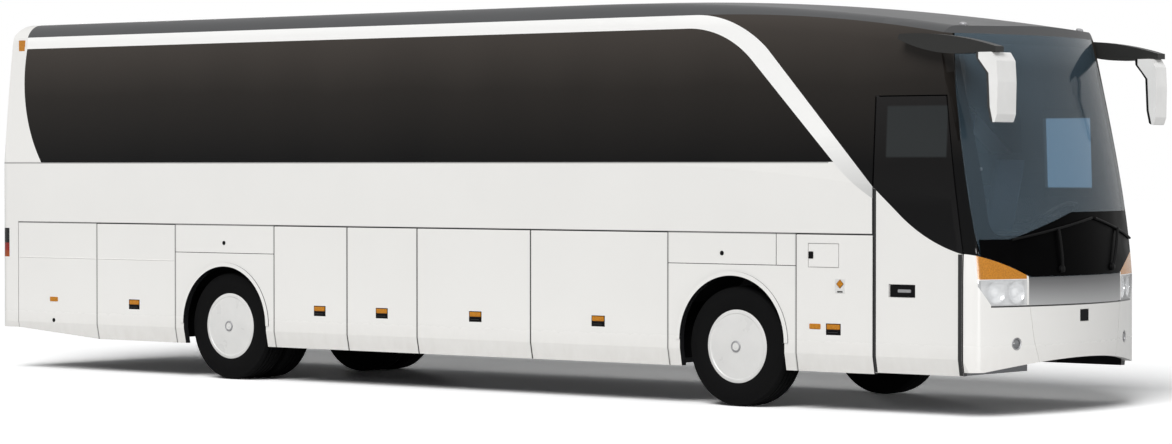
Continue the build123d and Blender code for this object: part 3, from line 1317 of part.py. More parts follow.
ENGINE_BACK_X = REAR_X + 150.0
ENGINE_FRONT_X = REAR_X + 1400.0
ENGINE_Z = (560.0, 1330.0)
GEARBOX_L = 750.0
GEARBOX_DROP = 60.0
ENGINE_RAIL_GAP = 30.0
ENGINE_FOOT = (120.0, 20.0, 40.0)
ENGINE_FEET_X = (ENGINE_BACK_X + 200.0, ENGINE_FRONT_X - 260.0)
with BuildPart() as engine:
    half = RAIL_Y - RAIL_W / 2 - ENGINE_RAIL_GAP
    foot_l, foot_reach, foot_h = ENGINE_FOOT
    add(box_between((ENGINE_BACK_X, -half, ENGINE_Z[0]), (ENGINE_FRONT_X, half, ENGINE_Z[1])))
    for x in ENGINE_FEET_X:
        low = (x, -RAIL_Y - foot_reach, REAR_RAIL_Z[1])
        add(box_between(low, (x + foot_l, RAIL_Y + foot_reach, REAR_RAIL_Z[1] + foot_h)))
    with BuildSketch(Plane.YZ.offset(ENGINE_FRONT_X)):
        with Locations((0, REAR_RAIL_Z[0] - GEARBOX_DROP)):
            Circle(DIFF_R)
    extrude(amount=GEARBOX_L, dir=(1, 0, 0))
save(engine.part, "engine")

# Mirrors on arms that run forward along the roof edge; the head on the driver's side is the narrower one
MIRROR_OUTER_Y = HALF_WIDTH + 55.0
MIRROR_TOP_Z = HEIGHT - 550.0
MIRROR_FOOT_Z = MIRROR_TOP_Z - 570.0
MIRROR_CORNER_R = 16.0
MIRROR_SIDE = [
    (FRONT_X - 210.0, MIRROR_TOP_Z),
    (FRONT_X - 55.0, MIRROR_TOP_Z),
    (FRONT_X - 10.0, MIRROR_TOP_Z - 70.0),
    (FRONT_X, MIRROR_TOP_Z - 240.0),
    (FRONT_X - 6.0, MIRROR_FOOT_Z + 70.0),
    (FRONT_X - 30.0, MIRROR_FOOT_Z),
    (FRONT_X - 70.0, MIRROR_FOOT_Z + 20.0),
    (FRONT_X - 95.0, MIRROR_FOOT_Z + 130.0),
    (FRONT_X - 108.0, MIRROR_TOP_Z - 170.0),
    (FRONT_X - 150.0, MIRROR_TOP_Z - 115.0),
    (FRONT_X - 205.0, MIRROR_TOP_Z - 50.0),
]
Mirror = namedtuple("Mirror", "side inner_y")
MIRRORS = [Mirror(-1, HALF_WIDTH - 225.0), Mirror(1, HALF_WIDTH - 125.0)]
ARM_ROOT_Z = HEIGHT - 510.0
ARM_TOP = [
    (FRONT_X - 951.0, HEIGHT - 387.0),
    (FRONT_X - 480.0, HEIGHT - 408.0),
    (FRONT_X - 20.0, HEIGHT - 505.0),
]
ARM_UNDER = [
    (FRONT_X - 200.0, MIRROR_TOP_Z),
    (FRONT_X - 560.0, HEIGHT - 545.0),
    (FRONT_X - 965.0, HEIGHT - 428.0),
]
arm_inner_y = skin_y(ARM_ROOT_Z, ARM_UNDER[2][0]) + FIT_GAP
arm_tip_foot = (ARM_TOP[2][0], MIRROR_TOP_Z)
with BuildPart() as mirror_arm:
    with BuildSketch(Plane.XZ.offset(arm_inner_y)):
        with BuildLine():
            ThreePointArc(*ARM_TOP)
            Polyline(ARM_TOP[2], arm_tip_foot, ARM_UNDER[0])
            ThreePointArc(*ARM_UNDER)
            Line(ARM_UNDER[2], ARM_TOP[0])
        make_face()
    extrude(amount=MIRROR_OUTER_Y - arm_inner_y, dir=(0, -1, 0))
save(both_sides(mirror_arm.part), "mirror_arms")
heads = []
for mirror_place in MIRRORS:
    with BuildPart() as mirror_head:
        with BuildSketch(Plane.XZ.offset(-mirror_place.side * mirror_place.inner_y)) as outline:
            with BuildLine():
                Polyline(*MIRROR_SIDE, close=True)
            make_face()
            fillet(outline.vertices(), radius=MIRROR_CORNER_R)
        extrude(amount=MIRROR_OUTER_Y - mirror_place.inner_y, dir=(0, mirror_place.side, 0))
    heads.extend(mirror_head.part.solids())
save(Compound(children=heads), "mirror_heads")
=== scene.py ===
"""Looks for the touring coach: materials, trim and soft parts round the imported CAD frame."""

import math
from collections import namedtuple

import bmesh
import bpy
from mathutils import Matrix, Vector


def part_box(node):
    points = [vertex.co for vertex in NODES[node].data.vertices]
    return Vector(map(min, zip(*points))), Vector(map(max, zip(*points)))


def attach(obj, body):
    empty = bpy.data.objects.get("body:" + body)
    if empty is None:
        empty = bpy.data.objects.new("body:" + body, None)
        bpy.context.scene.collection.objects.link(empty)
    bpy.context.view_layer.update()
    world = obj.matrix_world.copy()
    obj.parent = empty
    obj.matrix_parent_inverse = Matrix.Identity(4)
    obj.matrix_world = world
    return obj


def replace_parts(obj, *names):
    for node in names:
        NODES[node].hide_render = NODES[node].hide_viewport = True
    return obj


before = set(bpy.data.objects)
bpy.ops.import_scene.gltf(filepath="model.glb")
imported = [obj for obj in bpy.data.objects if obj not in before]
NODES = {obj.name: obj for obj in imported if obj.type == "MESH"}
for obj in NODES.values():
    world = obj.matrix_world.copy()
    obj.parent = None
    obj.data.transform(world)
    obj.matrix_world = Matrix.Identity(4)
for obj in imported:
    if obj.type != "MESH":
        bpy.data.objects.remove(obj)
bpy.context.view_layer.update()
scene = bpy.context.scene

# Places in metres: +X to the front, +Y to the left, +Z up
SIDES = {"right": -1.0, "left": 1.0}
FLAP_NAMES = ("rear_flap", "bay_flap_4", "bay_flap_3", "bay_flap_2", "bay_flap_1", "front_flap")
HALF_W = -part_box("bay_flap_2_right")[0][1]
SKIRT_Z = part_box("bay_flap_2_right")[0][2]
DOOR_LOW, DOOR_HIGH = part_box("door_leaf")
GRILLE_LOW, GRILLE_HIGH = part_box("front_grille")
LAMP_LOW, LAMP_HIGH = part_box("headlamps")
TAIL_LAMP_LOW, TAIL_LAMP_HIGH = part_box("tail_lamps")
SCREEN_LOW, SCREEN_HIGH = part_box("windscreen")
LID_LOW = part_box("engine_lid")[0]
MIRROR_OUTER_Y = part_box("mirror_heads")[1][1]
FRONT_X = GRILLE_HIGH[0]
REAR_X = LID_LOW[0]
TUCK_TOP_Z = 0.480
TUCK_IN = 0.030
TUCK_SLOPE = TUCK_IN / (TUCK_TOP_Z - SKIRT_Z)
FLAP_TOP_Z = 1.480
WAIST_Z = 2.080


# Material helpers

NOISE_LOW, NOISE_HIGH = 0.3, 0.7
BUMP_DISTANCE = 0.001


def new_material(name):
    material = bpy.data.materials.new(name)
    material.use_nodes = True
    tree = material.node_tree
    return material, tree, tree.nodes["Principled BSDF"]


def feed(tree, shader, socket, source):
    tree.links.new(source, shader.inputs[socket])


def fix(shader, values):
    """Constant values, set on the shader's own sockets."""
    for socket, value in values.items():
        shader.inputs[socket].default_value = value


def noise(tree, scale, detail=3.0, stretch=(1, 1, 1)):
    """Noise over the object's own coordinates, which are the row frame's metres."""
    coords = tree.nodes.new("ShaderNodeTexCoord")
    mapping = tree.nodes.new("ShaderNodeMapping")
    mapping.inputs["Scale"].default_value = stretch
    texture = tree.nodes.new("ShaderNodeTexNoise")
    texture.inputs["Scale"].default_value = scale
    texture.inputs["Detail"].default_value = detail
    tree.links.new(coords.outputs["Object"], mapping.inputs["Vector"])
    tree.links.new(mapping.outputs["Vector"], texture.inputs["Vector"])
    return texture.outputs["Fac"]


def ramp(tree, source, stops):
    """Colour ramp from (position, colour) stops."""
    node = tree.nodes.new("ShaderNodeValToRGB")
    elements = node.color_ramp.elements
    while len(elements) < len(stops):
        elements.new(0.5)
    for element, (position, colour) in zip(elements, stops):
        element.position = position
        element.color = (*colour, 1.0)
    tree.links.new(source, node.inputs["Fac"])
    return node.outputs["Color"]


def span(tree, source, low, high, out_low, out_high):
    """Value carried from one range to another, held at both ends."""
    node = tree.nodes.new("ShaderNodeMapRange")
    ends = {"From Min": low, "From Max": high, "To Min": out_low, "To Max": out_high}
    for key, value in ends.items():
        node.inputs[key].default_value = value
    tree.links.new(source, node.inputs["Value"])
    return node.outputs["Result"]


def axis_value(tree, axis, kind="Object"):
    """One axis of the object coordinates, or of the normals."""
    coords = tree.nodes.new("ShaderNodeTexCoord")
    split = tree.nodes.new("ShaderNodeSeparateXYZ")
    tree.links.new(coords.outputs[kind], split.inputs["Vector"])
    return split.outputs[axis]


def maths(tree, operation, *values):
    node = tree.nodes.new("ShaderNodeMath")
    node.operation = operation
    for socket, value in zip(node.inputs, values):
        if isinstance(value, (int, float)):
            socket.default_value = value
        else:
            tree.links.new(value, socket)
    return node.outputs[0]


def mixed(tree, factor, a, b):
    """Colour a where the factor is 0, b where it is 1."""
    node = tree.nodes.new("ShaderNodeMix")
    node.data_type = "RGBA"
    tree.links.new(factor, node.inputs["Factor"])
    for socket, value in ((node.inputs[6], a), (node.inputs[7], b)):
        if isinstance(value, tuple):
            socket.default_value = (*value, 1.0)
        else:
            tree.links.new(value, socket)
    return node.outputs[2]


def product(tree, *values):
    total = values[0]
    for value in values[1:]:
        total = maths(tree, "MULTIPLY", total, value)
    return total


def bumped(tree, shader, source, strength):
    node = tree.nodes.new("ShaderNodeBump")
    node.inputs["Strength"].default_value = strength
    node.inputs["Distance"].default_value = BUMP_DISTANCE
    tree.links.new(source, node.inputs["Height"])
    feed(tree, shader, "Normal", node.outputs["Normal"])


def orange_peel(tree, shader):
    bumped(tree, shader, noise(tree, 220.0, 2.0), 0.02)


def shade(colour, amount):
    return tuple(max(0.0, c * amount) for c in colour)


def mottled(tree, field, colour, dark, bright):
    """The colour, darker to brighter over the noise's usual range."""
    stops = [(NOISE_LOW, shade(colour, dark)), (NOISE_HIGH, shade(colour, bright))]
    return ramp(tree, field, stops)


def over_noise(tree, field, low, high):
    return span(tree, field, NOISE_LOW, NOISE_HIGH, low, high)


# Masks: 0 where the body's paint turns black, as painted shade in grooves, pockets, gaps and on
# returns, and along dark joints

PANEL_SEAMS_X = (-5.720, -4.560, -3.450, -2.117, -1.172, -0.296, 1.063, 2.615, 3.975)
SEAM_HALF_W = 0.009
FILLER_LID_X, FILLER_LID_Z = (4.090, 4.425), (1.193, 1.412)
FILLER_SEAM_LEVEL = 0.80
WALL_WAIST_X = (REAR_X - 1.0, 4.30)
TAIL_WAIST_X = (REAR_X + 0.03, 0.0)
LAMP_JOINT_Y = 1.09


def band(tree, axis, low, high, soft=0.001):
    """1 between two places along an axis, 0 outside them."""
    value = axis_value(tree, axis)
    rise = span(tree, value, low - soft, low + soft, 0.0, 1.0)
    return product(tree, rise, span(tree, value, high - soft, high + soft, 1.0, 0.0))


def off(tree, amount, *bands):
    """1 outside the bands' overlap, 1 - amount inside it."""
    return span(tree, product(tree, *bands), 0.0, 1.0, 1.0, 1.0 - amount)


def facing_out(tree):
    """1 where a surface looks out of the coach's side, 0 on edges, returns and inner faces, which
    take painted shade.
    """
    side = maths(tree, "SIGN", axis_value(tree, "Y"))
    away = maths(tree, "MULTIPLY", axis_value(tree, "Y", "Normal"), side)
    return span(tree, away, 0.40, 0.60, 0.0, 1.0)


def flush(tree):
    """1 on the side skin below the waist, 0 in grooves and pockets let into it, which take painted
    shade.
    """
    reach = maths(tree, "ABSOLUTE", axis_value(tree, "Y"))
    below = maths(tree, "SUBTRACT", TUCK_TOP_Z, axis_value(tree, "Z"))
    drop = maths(tree, "MAXIMUM", below, 0.0)
    level = maths(tree, "MULTIPLY_ADD", drop, TUCK_SLOPE, reach)
    return span(tree, level, HALF_W - 0.005, HALF_W - 0.003, 0.0, 1.0)


def waist_line(tree, low_x, high_x):
    line = band(tree, "Z", WAIST_Z - 0.010, WAIST_Z + 0.004, 0.004)
    return off(tree, 0.6, line, band(tree, "X", low_x, high_x))


def panel_masks(tree):
    """Side panels' pockets and edges in painted shade, hinge line and upright joints as dark joints
    widened with painted shade, with a faint filler lid.
    """
    hinge = off(tree, 0.6, band(tree, "Z", FLAP_TOP_Z - 0.006, FLAP_TOP_Z + 0.02, 0.003))
    joints = []
    for x in PANEL_SEAMS_X:
        joints.append(off(tree, 0.5, band(tree, "X", x - SEAM_HALF_W, x + SEAM_HALF_W, 0.005)))
    lid = product(
        tree, band(tree, "X", *FILLER_LID_X, 0.004), band(tree, "Z", *FILLER_LID_Z, 0.004)
    )
    faint = maths(tree, "MULTIPLY", lid, FILLER_SEAM_LEVEL)
    groove_shade = [maths(tree, "MAXIMUM", mask, faint) for mask in (facing_out(tree), flush(tree))]
    return *groove_shade, hinge, *joints


def wall_masks(tree):
    """Painted shade on edges and returns, the hinge line at the wall's foot widened with painted
    shade, and the faint waist line below the glass.
    """
    hinge = off(tree, 0.5, band(tree, "Z", FLAP_TOP_Z, FLAP_TOP_Z + 0.010, 0.003))
    return facing_out(tree), hinge, waist_line(tree, *WALL_WAIST_X)


def tail_masks(tree):
    return (waist_line(tree, *TAIL_WAIST_X),)


# The door leaf's edges and returns take painted shade.
def leaf_masks(tree):
    return (facing_out(tree),)


def mask_masks(tree):
    """The dark joint under the headlamps and grille."""
    joint = band(tree, "Z", LAMP_LOW[2] - 0.012, LAMP_LOW[2] + 0.002)
    return (off(tree, 1.0, joint, band(tree, "Y", -LAMP_JOINT_Y, LAMP_JOINT_Y)),)


# Materials

WHITE = (0.820, 0.810, 0.786)
SKIRT_BEIGE = (0.42, 0.38, 0.33)
SKIRT_BEIGE_Z = (0.30, 0.62)
# Black for painted shade in gaps, grooves and pockets, for dark joints, and for the tail lamp's
# black top
GAP_SHADE_AND_LENS_BLACK = (0.010, 0.010, 0.011)
ROOF_END_X = -5.660
STRIPE_SHADE_Z = (1.70, 2.30)
# Mirror foot, plate and hook: two heights, then the back edge's X or its change
MIRROR_EDGE = (
    (2.41, 2.52, FRONT_X - 0.070, FRONT_X - 0.095),
    (2.52, 2.79, 0.0, -0.013),
    (2.79, 2.91, 0.0, -0.097),
)
SCREEN_BAND_H = 0.28
Pane = namedtuple("Pane", "x z colour clear")
PANE_EDGE = 0.008


def plain(
    name, colour, rough, metallic=0.0, coat=0.0, grain=60.0, spread=0.06, bump=0.0,
    stretch=(1, 1, 1), gloss=0.5, ior=1.5,
):
    """A surface with fine variation of colour and gloss, and an optional grain in relief."""
    material, tree, shader = new_material(name)
    field = noise(tree, grain, stretch=stretch)
    feed(tree, shader, "Base Color", mottled(tree, field, colour, 1 - spread, 1 + spread))
    feed(tree, shader, "Roughness", over_noise(tree, field, rough * 0.88, rough * 1.12))
    fix(shader, {"Metallic": metallic, "Specular IOR Level": gloss, "IOR": ior})
    fix(shader, {"Coat Weight": coat, "Coat Roughness": 0.05})
    if bump:
        bumped(tree, shader, field, bump)
    return material


def body_paint(name, skirt_beige, masks=None):
    """White gloss paint, mottled darker beige towards the skirt's foot, and black where the masks'
    product is 0, as painted shade and dark joints.
    """
    material, tree, shader = new_material(name)
    tone = mottled(tree, noise(tree, 0.9, 4.0), WHITE, 0.985, 1.01)
    # Mottled darker beige towards the skirt's foot.
    height = span(tree, axis_value(tree, "Z"), *SKIRT_BEIGE_Z, skirt_beige, 0.0)
    skirt_beige_share = maths(tree, "MULTIPLY", height, noise(tree, 14.0, 6.0, (1.0, 1.0, 0.5)))
    tone = mixed(tree, skirt_beige_share, tone, SKIRT_BEIGE)
    if masks:
        # Black where the masks are 0: painted shade in gaps, grooves and pockets, and dark joints
        tone = mixed(tree, product(tree, *masks(tree)), GAP_SHADE_AND_LENS_BLACK, tone)
    feed(tree, shader, "Base Color", tone)
    feed(tree, shader, "Roughness", span(tree, skirt_beige_share, 0.0, 0.3, 0.26, 0.5))
    fix(shader, {"Coat Weight": 0.35, "Coat Roughness": 0.04})
    orange_peel(tree, shader)
    return material


def roof_shell(name, colour):
    """Satin dark roof whose rear end takes the body's white."""
    material, tree, shader = new_material(name)
    broad = noise(tree, 0.9, 4.0)
    tone = mottled(tree, broad, colour, 0.94, 1.06)
    tail = span(tree, axis_value(tree, "X"), ROOF_END_X - 0.003, ROOF_END_X + 0.003, 1.0, 0.0)
    feed(tree, shader, "Base Color", mixed(tree, tail, tone, WHITE))
    feed(tree, shader, "Roughness", over_noise(tree, broad, 0.44, 0.52))
    fix(shader, {"Specular IOR Level": 0.22})
    orange_peel(tree, shader)
    return material


def stripe_paint(name, colour, shaded_tail_colour):
    """Bright white band with painted shade that greys its tail towards the lower end."""
    material, tree, shader = new_material(name)
    fall = span(tree, axis_value(tree, "Z"), *STRIPE_SHADE_Z, 0.0, 1.0)
    level = maths(tree, "MULTIPLY_ADD", noise(tree, 2.0), 0.06, maths(tree, "SUBTRACT", fall, 0.03))
    feed(tree, shader, "Base Color", ramp(tree, level, [(0.0, shaded_tail_colour), (1.0, colour)]))
    feed(tree, shader, "Roughness", span(tree, level, 0.0, 1.0, 0.34, 0.26))
    fix(shader, {"Coat Weight": 0.3, "Coat Roughness": 0.05})
    return material


def grille_paint(name, low_colour, shaded_top_colour, rough):
    """Metallic paint with painted shade that darkens it upwards, under the headlamps."""
    material, tree, shader = new_material(name)
    rise = span(tree, axis_value(tree, "Z"), GRILLE_LOW[2], GRILLE_HIGH[2], 0.0, 1.0)
    grain = maths(
        tree, "MULTIPLY_ADD", noise(tree, 300.0), 0.08, maths(tree, "SUBTRACT", rise, 0.04)
    )
    feed(tree, shader, "Base Color", ramp(tree, grain, [(0.0, low_colour), (1.0, shaded_top_colour)]))
    feed(tree, shader, "Roughness", span(tree, grain, 0.0, 1.0, rough * 0.9, rough * 1.1))
    fix(shader, {"Metallic": 0.35, "Specular IOR Level": 0.3})
    return material


def mirror_shell(name, colour, rim_colour, rough):
    """White housing with a black rim along its back edge, which steps back to the hook on top."""
    material, tree, shader = new_material(name)
    height = axis_value(tree, "Z")
    foot, plate, hook = [span(tree, height, *run) for run in MIRROR_EDGE]
    edge = maths(tree, "ADD", maths(tree, "ADD", foot, plate), hook)
    ahead = maths(tree, "SUBTRACT", axis_value(tree, "X"), edge)
    rim = span(tree, ahead, 0.020, 0.024, 1.0, 0.0)
    field = noise(tree, 5.0)
    tone = mottled(tree, field, colour, 0.97, 1.03)
    feed(tree, shader, "Base Color", mixed(tree, rim, tone, rim_colour))
    feed(tree, shader, "Roughness", over_noise(tree, field, rough * 0.9, rough * 1.1))
    fix(shader, {"Coat Weight": 0.3})
    return material


def dark_glass(name, low, high, z_low, z_high, pane=None):
    """Tinted glazing with a painted reflection that lightens it upwards, with an optional pane of
    another tint or clear.
    """
    material, tree, shader = new_material(name)
    up = span(tree, axis_value(tree, "Z"), z_low, z_high, 0.0, 1.0)
    wave = noise(tree, 0.7, 2.0, (1.0, 1.0, 0.4))
    painted_reflection_level = maths(tree, "MULTIPLY_ADD", maths(tree, "SUBTRACT", wave, 0.5), 0.25, up)
    tone = ramp(tree, painted_reflection_level, [(0.0, low), (0.55, shade(high, 0.36)), (1.0, high)])
    feed(tree, shader, "Roughness", over_noise(tree, wave, 0.03, 0.07))
    if pane:
        across = band(tree, "X", *pane.x, PANE_EDGE)
        mask = product(tree, across, band(tree, "Z", *pane.z, PANE_EDGE))
        tone = mixed(tree, mask, tone, pane.colour)
        if pane.clear:
            feed(tree, shader, "Transmission Weight", mask)
            fix(shader, {"IOR": 1.0})
    feed(tree, shader, "Base Color", tone)
    fix(shader, {"Specular IOR Level": 0.06, "Coat Weight": 0.06, "Coat Roughness": 0.03})
    return material


def clear_glass(name, colour, alpha, rough):
    """Thin glass seen through, with a slight tint and ripple."""
    material, tree, shader = new_material(name)
    ripple = noise(tree, 1.4, 2.0)
    tone = ramp(tree, ripple, [(0.2, shade(colour, 0.9)), (0.8, shade(colour, 1.1))])
    feed(tree, shader, "Base Color", tone)
    feed(tree, shader, "Roughness", span(tree, ripple, 0.2, 0.8, rough * 0.7, rough * 1.3))
    feed(tree, shader, "Alpha", span(tree, ripple, 0.2, 0.8, alpha * 0.95, alpha * 1.05))
    fix(shader, {"Specular IOR Level": 0.35})
    return material


def windscreen_glass(name, dark, pale):
    """Blue-grey see-through screen with a darker band under the roof."""
    material, tree, shader = new_material(name)
    ripple = noise(tree, 1.4, 2.0)
    feed(tree, shader, "Base Color", ramp(tree, ripple, [(0.2, dark), (0.8, pale)]))
    head_z = SCREEN_HIGH[2]
    head = span(tree, axis_value(tree, "Z"), head_z - SCREEN_BAND_H, head_z, 0.0, 0.4)
    feed(tree, shader, "Alpha", maths(tree, "ADD", head, 0.42))
    feed(tree, shader, "Roughness", span(tree, ripple, 0.2, 0.8, 0.02, 0.05))
    fix(shader, {"Specular IOR Level": 0.4})
    return material


def tail_lens(name):
    """Stacked rear lamp: brownish red over the lower half, black over the upper half."""
    material, tree, shader = new_material(name)
    level = span(tree, axis_value(tree, "Z"), TAIL_LAMP_LOW[2], TAIL_LAMP_HIGH[2], 0.0, 1.0)
    stops = [(0.0, (0.34, 0.070, 0.012)), (0.20, (0.30, 0.050, 0.012))]
    stops += [(0.24, (0.26, 0.016, 0.012)), (0.47, (0.22, 0.014, 0.010)), (0.50, GAP_SHADE_AND_LENS_BLACK)]
    feed(tree, shader, "Base Color", ramp(tree, level, stops))
    ribs = noise(tree, 60.0, 1.0, (1, 1, 4))
    feed(tree, shader, "Roughness", over_noise(tree, ribs, 0.10, 0.18))
    fix(shader, {"Coat Weight": 0.08, "Specular IOR Level": 0.25})
    return material


paint = body_paint("body_white", 0.35)
panel_paint = body_paint("panel_white", 0.35, panel_masks)
wall_paint = body_paint("wall_white", 0.0, wall_masks)
tail_paint = body_paint("tail_white", 0.35, tail_masks)
leaf_paint = body_paint("door_white", 0.35, leaf_masks)
mask_paint = body_paint("front_white", 0.35, mask_masks)
roof_paint = roof_shell("roof_dark", (0.080, 0.081, 0.083))
# The second colour is painted shade on the stripe's tail.
stripe_white = stripe_paint("stripe_white", (0.910, 0.905, 0.890), (0.50, 0.50, 0.49))
# The dark second colour is painted shade at the grille's top.
silver = grille_paint("silver_paint", (0.42, 0.422, 0.425), (0.095, 0.096, 0.098), 0.42)
mirror_white = mirror_shell("mirror_white", (0.84, 0.835, 0.82), (0.006, 0.006, 0.006), 0.24)

# Tint at the foot, painted reflection at the top, and the heights between them.
SIDE_TINT_AND_REFLECTION = ((0.0022, 0.0022, 0.0024), (0.056, 0.048, 0.042), 2.05, 3.30)
DOOR_TINT_AND_REFLECTION = ((0.008, 0.008, 0.0085), (0.016, 0.015, 0.015), 1.3, 2.7)
DOOR_PANE = Pane((4.874, 5.463), (2.119, 2.538), (0.026, 0.029, 0.030), False)
DRIVER_PANE = Pane((4.765, 5.320), (1.855, 2.465), (0.22, 0.40, 0.60), True)
side_glass = dark_glass("side_glass", *SIDE_TINT_AND_REFLECTION)
door_glass = dark_glass("door_glass", *DOOR_TINT_AND_REFLECTION, DOOR_PANE)
driver_glass = dark_glass("driver_glass", *SIDE_TINT_AND_REFLECTION, DRIVER_PANE)
screen_glass = windscreen_glass("screen_glass", (0.050, 0.086, 0.115), (0.068, 0.104, 0.134))
lamp_glass = clear_glass("lamp_glass", (0.95, 0.96, 0.97), 0.45, 0.03)
tail_glass = tail_lens("tail_lens")
amber = plain("amber_lens", (0.50, 0.19, 0.008), 0.22, coat=0.1, grain=90.0, spread=0.2, gloss=0.3)
fog_grey = plain("fog_lens", (0.16, 0.165, 0.17), 0.12, coat=0.4, spread=0.15)
lamp_white = plain("lamp_white", (0.88, 0.89, 0.90), 0.25, coat=0.4, grain=30.0, spread=0.03)
cover_white = plain("cover_white", (0.70, 0.695, 0.68), 0.30, coat=0.3, grain=6.0, spread=0.03)

MATT_GRAIN = {"bump": 0.15, "gloss": 0.25}
black_trim = plain(
    "black_trim", (0.006, 0.006, 0.0065), 0.45, grain=240.0, spread=0.2, ior=1.2, **MATT_GRAIN
)
arm_grey = plain("arm_grey", (0.022, 0.022, 0.021), 0.5, grain=260.0, spread=0.15, **MATT_GRAIN)
black_gloss = plain("black_gloss", (0.008, 0.008, 0.009), 0.12, coat=0.5, grain=8.0, spread=0.2)
panel_black = plain(
    "panel_black", (0.0012, 0.0012, 0.0013), 0.35, grain=6.0, spread=0.2, ior=1.06
)
pillar_black = plain("pillar_black", (0.005, 0.005, 0.0052), 0.5, grain=6.0, spread=0.2, ior=1.15)
rubber = plain("rubber", (0.014, 0.014, 0.014), 0.75, grain=120.0, spread=0.25, bump=0.2)
tyre_rubber = plain(
    "tyre_rubber", (0.0062, 0.0062, 0.0064), 0.8, grain=150.0, spread=0.3, bump=0.25, ior=1.12
)
floor_vinyl = plain("floor_vinyl", (0.16, 0.165, 0.175), 0.55, grain=300.0, spread=0.3, bump=0.15)
seat_fabric = plain("seat_fabric", (0.050, 0.070, 0.130), 0.9, grain=420.0, spread=0.45, bump=0.4)
dash_plastic = plain(
    "dash_plastic", (0.050, 0.052, 0.056), 0.5, grain=260.0, spread=0.15, bump=0.25
)

DRAWN = {"grain": 90.0, "stretch": (0.05, 1, 1)}
chrome = plain("lamp_silver", (0.86, 0.87, 0.88), 0.14, metallic=1.0, grain=40.0, spread=0.03)
grey_metal = plain("grey_metal", (0.34, 0.34, 0.35), 0.40, metallic=0.7, grain=80.0, spread=0.1)
rail_dark = plain("rail_dark", (0.060, 0.060, 0.062), 0.45, metallic=0.5, spread=0.15, **DRAWN)
aluminium = plain("aluminium", (0.62, 0.63, 0.64), 0.36, metallic=1.0, spread=0.08, **DRAWN)
steel_dark = plain("frame_steel", (0.045, 0.046, 0.050), 0.55, grain=40.0, spread=0.25, bump=0.2)
iron = plain(
    "cast_iron", (0.070, 0.068, 0.066), 0.68, metallic=0.5, grain=55.0, spread=0.3, bump=0.35
)
mirror_glass = plain("mirror_glass", (0.55, 0.58, 0.60), 0.04, metallic=1.0, grain=3.0, spread=0.03)

NODE_MATERIALS = {
    "roof": roof_paint,
    "windscreen": screen_glass,
    "windscreen_frame": pillar_black,
    "side_glass_left": driver_glass,
    "side_glass_right": side_glass,
    "rear_window": side_glass,
    "door_glass": door_glass,
    "door_leaf": leaf_paint,
    "front_mask": mask_paint,
    "rear_wall": tail_paint,
    "side_wall_left": wall_paint,
    "side_wall_right": wall_paint,
    "side_stripes": stripe_white,
    "engine_side_panels": panel_paint,
    "wheel_arch_panels": panel_paint,
    "driver_side_panel": panel_paint,
    "headlamps": lamp_glass,
    "front_indicators": amber,
    "tail_lamps": tail_glass,
    "front_grille": silver,
    "hinge_rails": rail_dark,
    "door_arms": steel_dark,
    "underframe": steel_dark,
    "passenger_floor": floor_vinyl,
    "wheel_housings": black_trim,
    "entrance_steps": floor_vinyl,
    "dashboard": dash_plastic,
    "seats": seat_fabric,
    "engine": iron,
    "front_axle": iron,
    "rear_axle": iron,
    "air_springs": rubber,
    "knuckle_left": iron,
    "knuckle_right": iron,
    "track_rod": iron,
    "mirror_arms": arm_grey,
    "mirror_heads": mirror_white,
}


def node_material(name):
    if name in NODE_MATERIALS:
        return NODE_MATERIALS[name]
    if name.startswith("tyre"):
        return tyre_rubber
    if name.startswith("wheel_"):
        return cover_white
    if "flap" in name:
        return panel_paint
    return paint


for name, node in NODES.items():
    node.data.materials.clear()
    node.data.materials.append(node_material(name))


# Mesh helpers

AHEAD = FRONT_X + 1.0
BACKWARD = Vector((-1.0, 0.0, 0.0))
DOWN = Vector((0.0, 0.0, -1.0))
ROD_ORDER = 3


def piece(name, mesh, material, body, smooth_deg=35.0):
    """Adds a mesh as a piece that rides on a body."""
    for face in mesh.polygons:
        face.use_smooth = True
    mesh.set_sharp_from_angle(angle=math.radians(smooth_deg))
    mesh.materials.append(material)
    obj = bpy.data.objects.new(name, mesh)
    scene.collection.objects.link(obj)
    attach(obj, body)
    return obj


def finished(build, name):
    bmesh.ops.recalc_face_normals(build, faces=build.faces)
    mesh = bpy.data.meshes.new(name)
    build.to_mesh(mesh)
    build.free()
    return mesh


def add_block(build, low, high, bevel, segments=2, turn=None):
    """Box between two corners with rounded edges, turned about its middle by a rotation matrix."""
    middle = (Vector(low) + Vector(high)) / 2
    size = Vector(high) - Vector(low)
    made = bmesh.ops.create_cube(build, size=1.0)["verts"]
    bmesh.ops.scale(build, verts=made, vec=size)
    edges = list({edge for vert in made for edge in vert.link_edges})
    rounded = bmesh.ops.bevel(build, geom=edges, offset=bevel, segments=segments, affect="EDGES")
    made = rounded["verts"]
    if turn:
        bmesh.ops.transform(build, matrix=turn.to_4x4(), verts=made)
    bmesh.ops.translate(build, verts=made, vec=middle)


def block(name, low, high, material, body, bevel, segments=2, turn=None):
    build = bmesh.new()
    add_block(build, low, high, bevel, segments, turn)
    piece(name, finished(build, name), material, body)


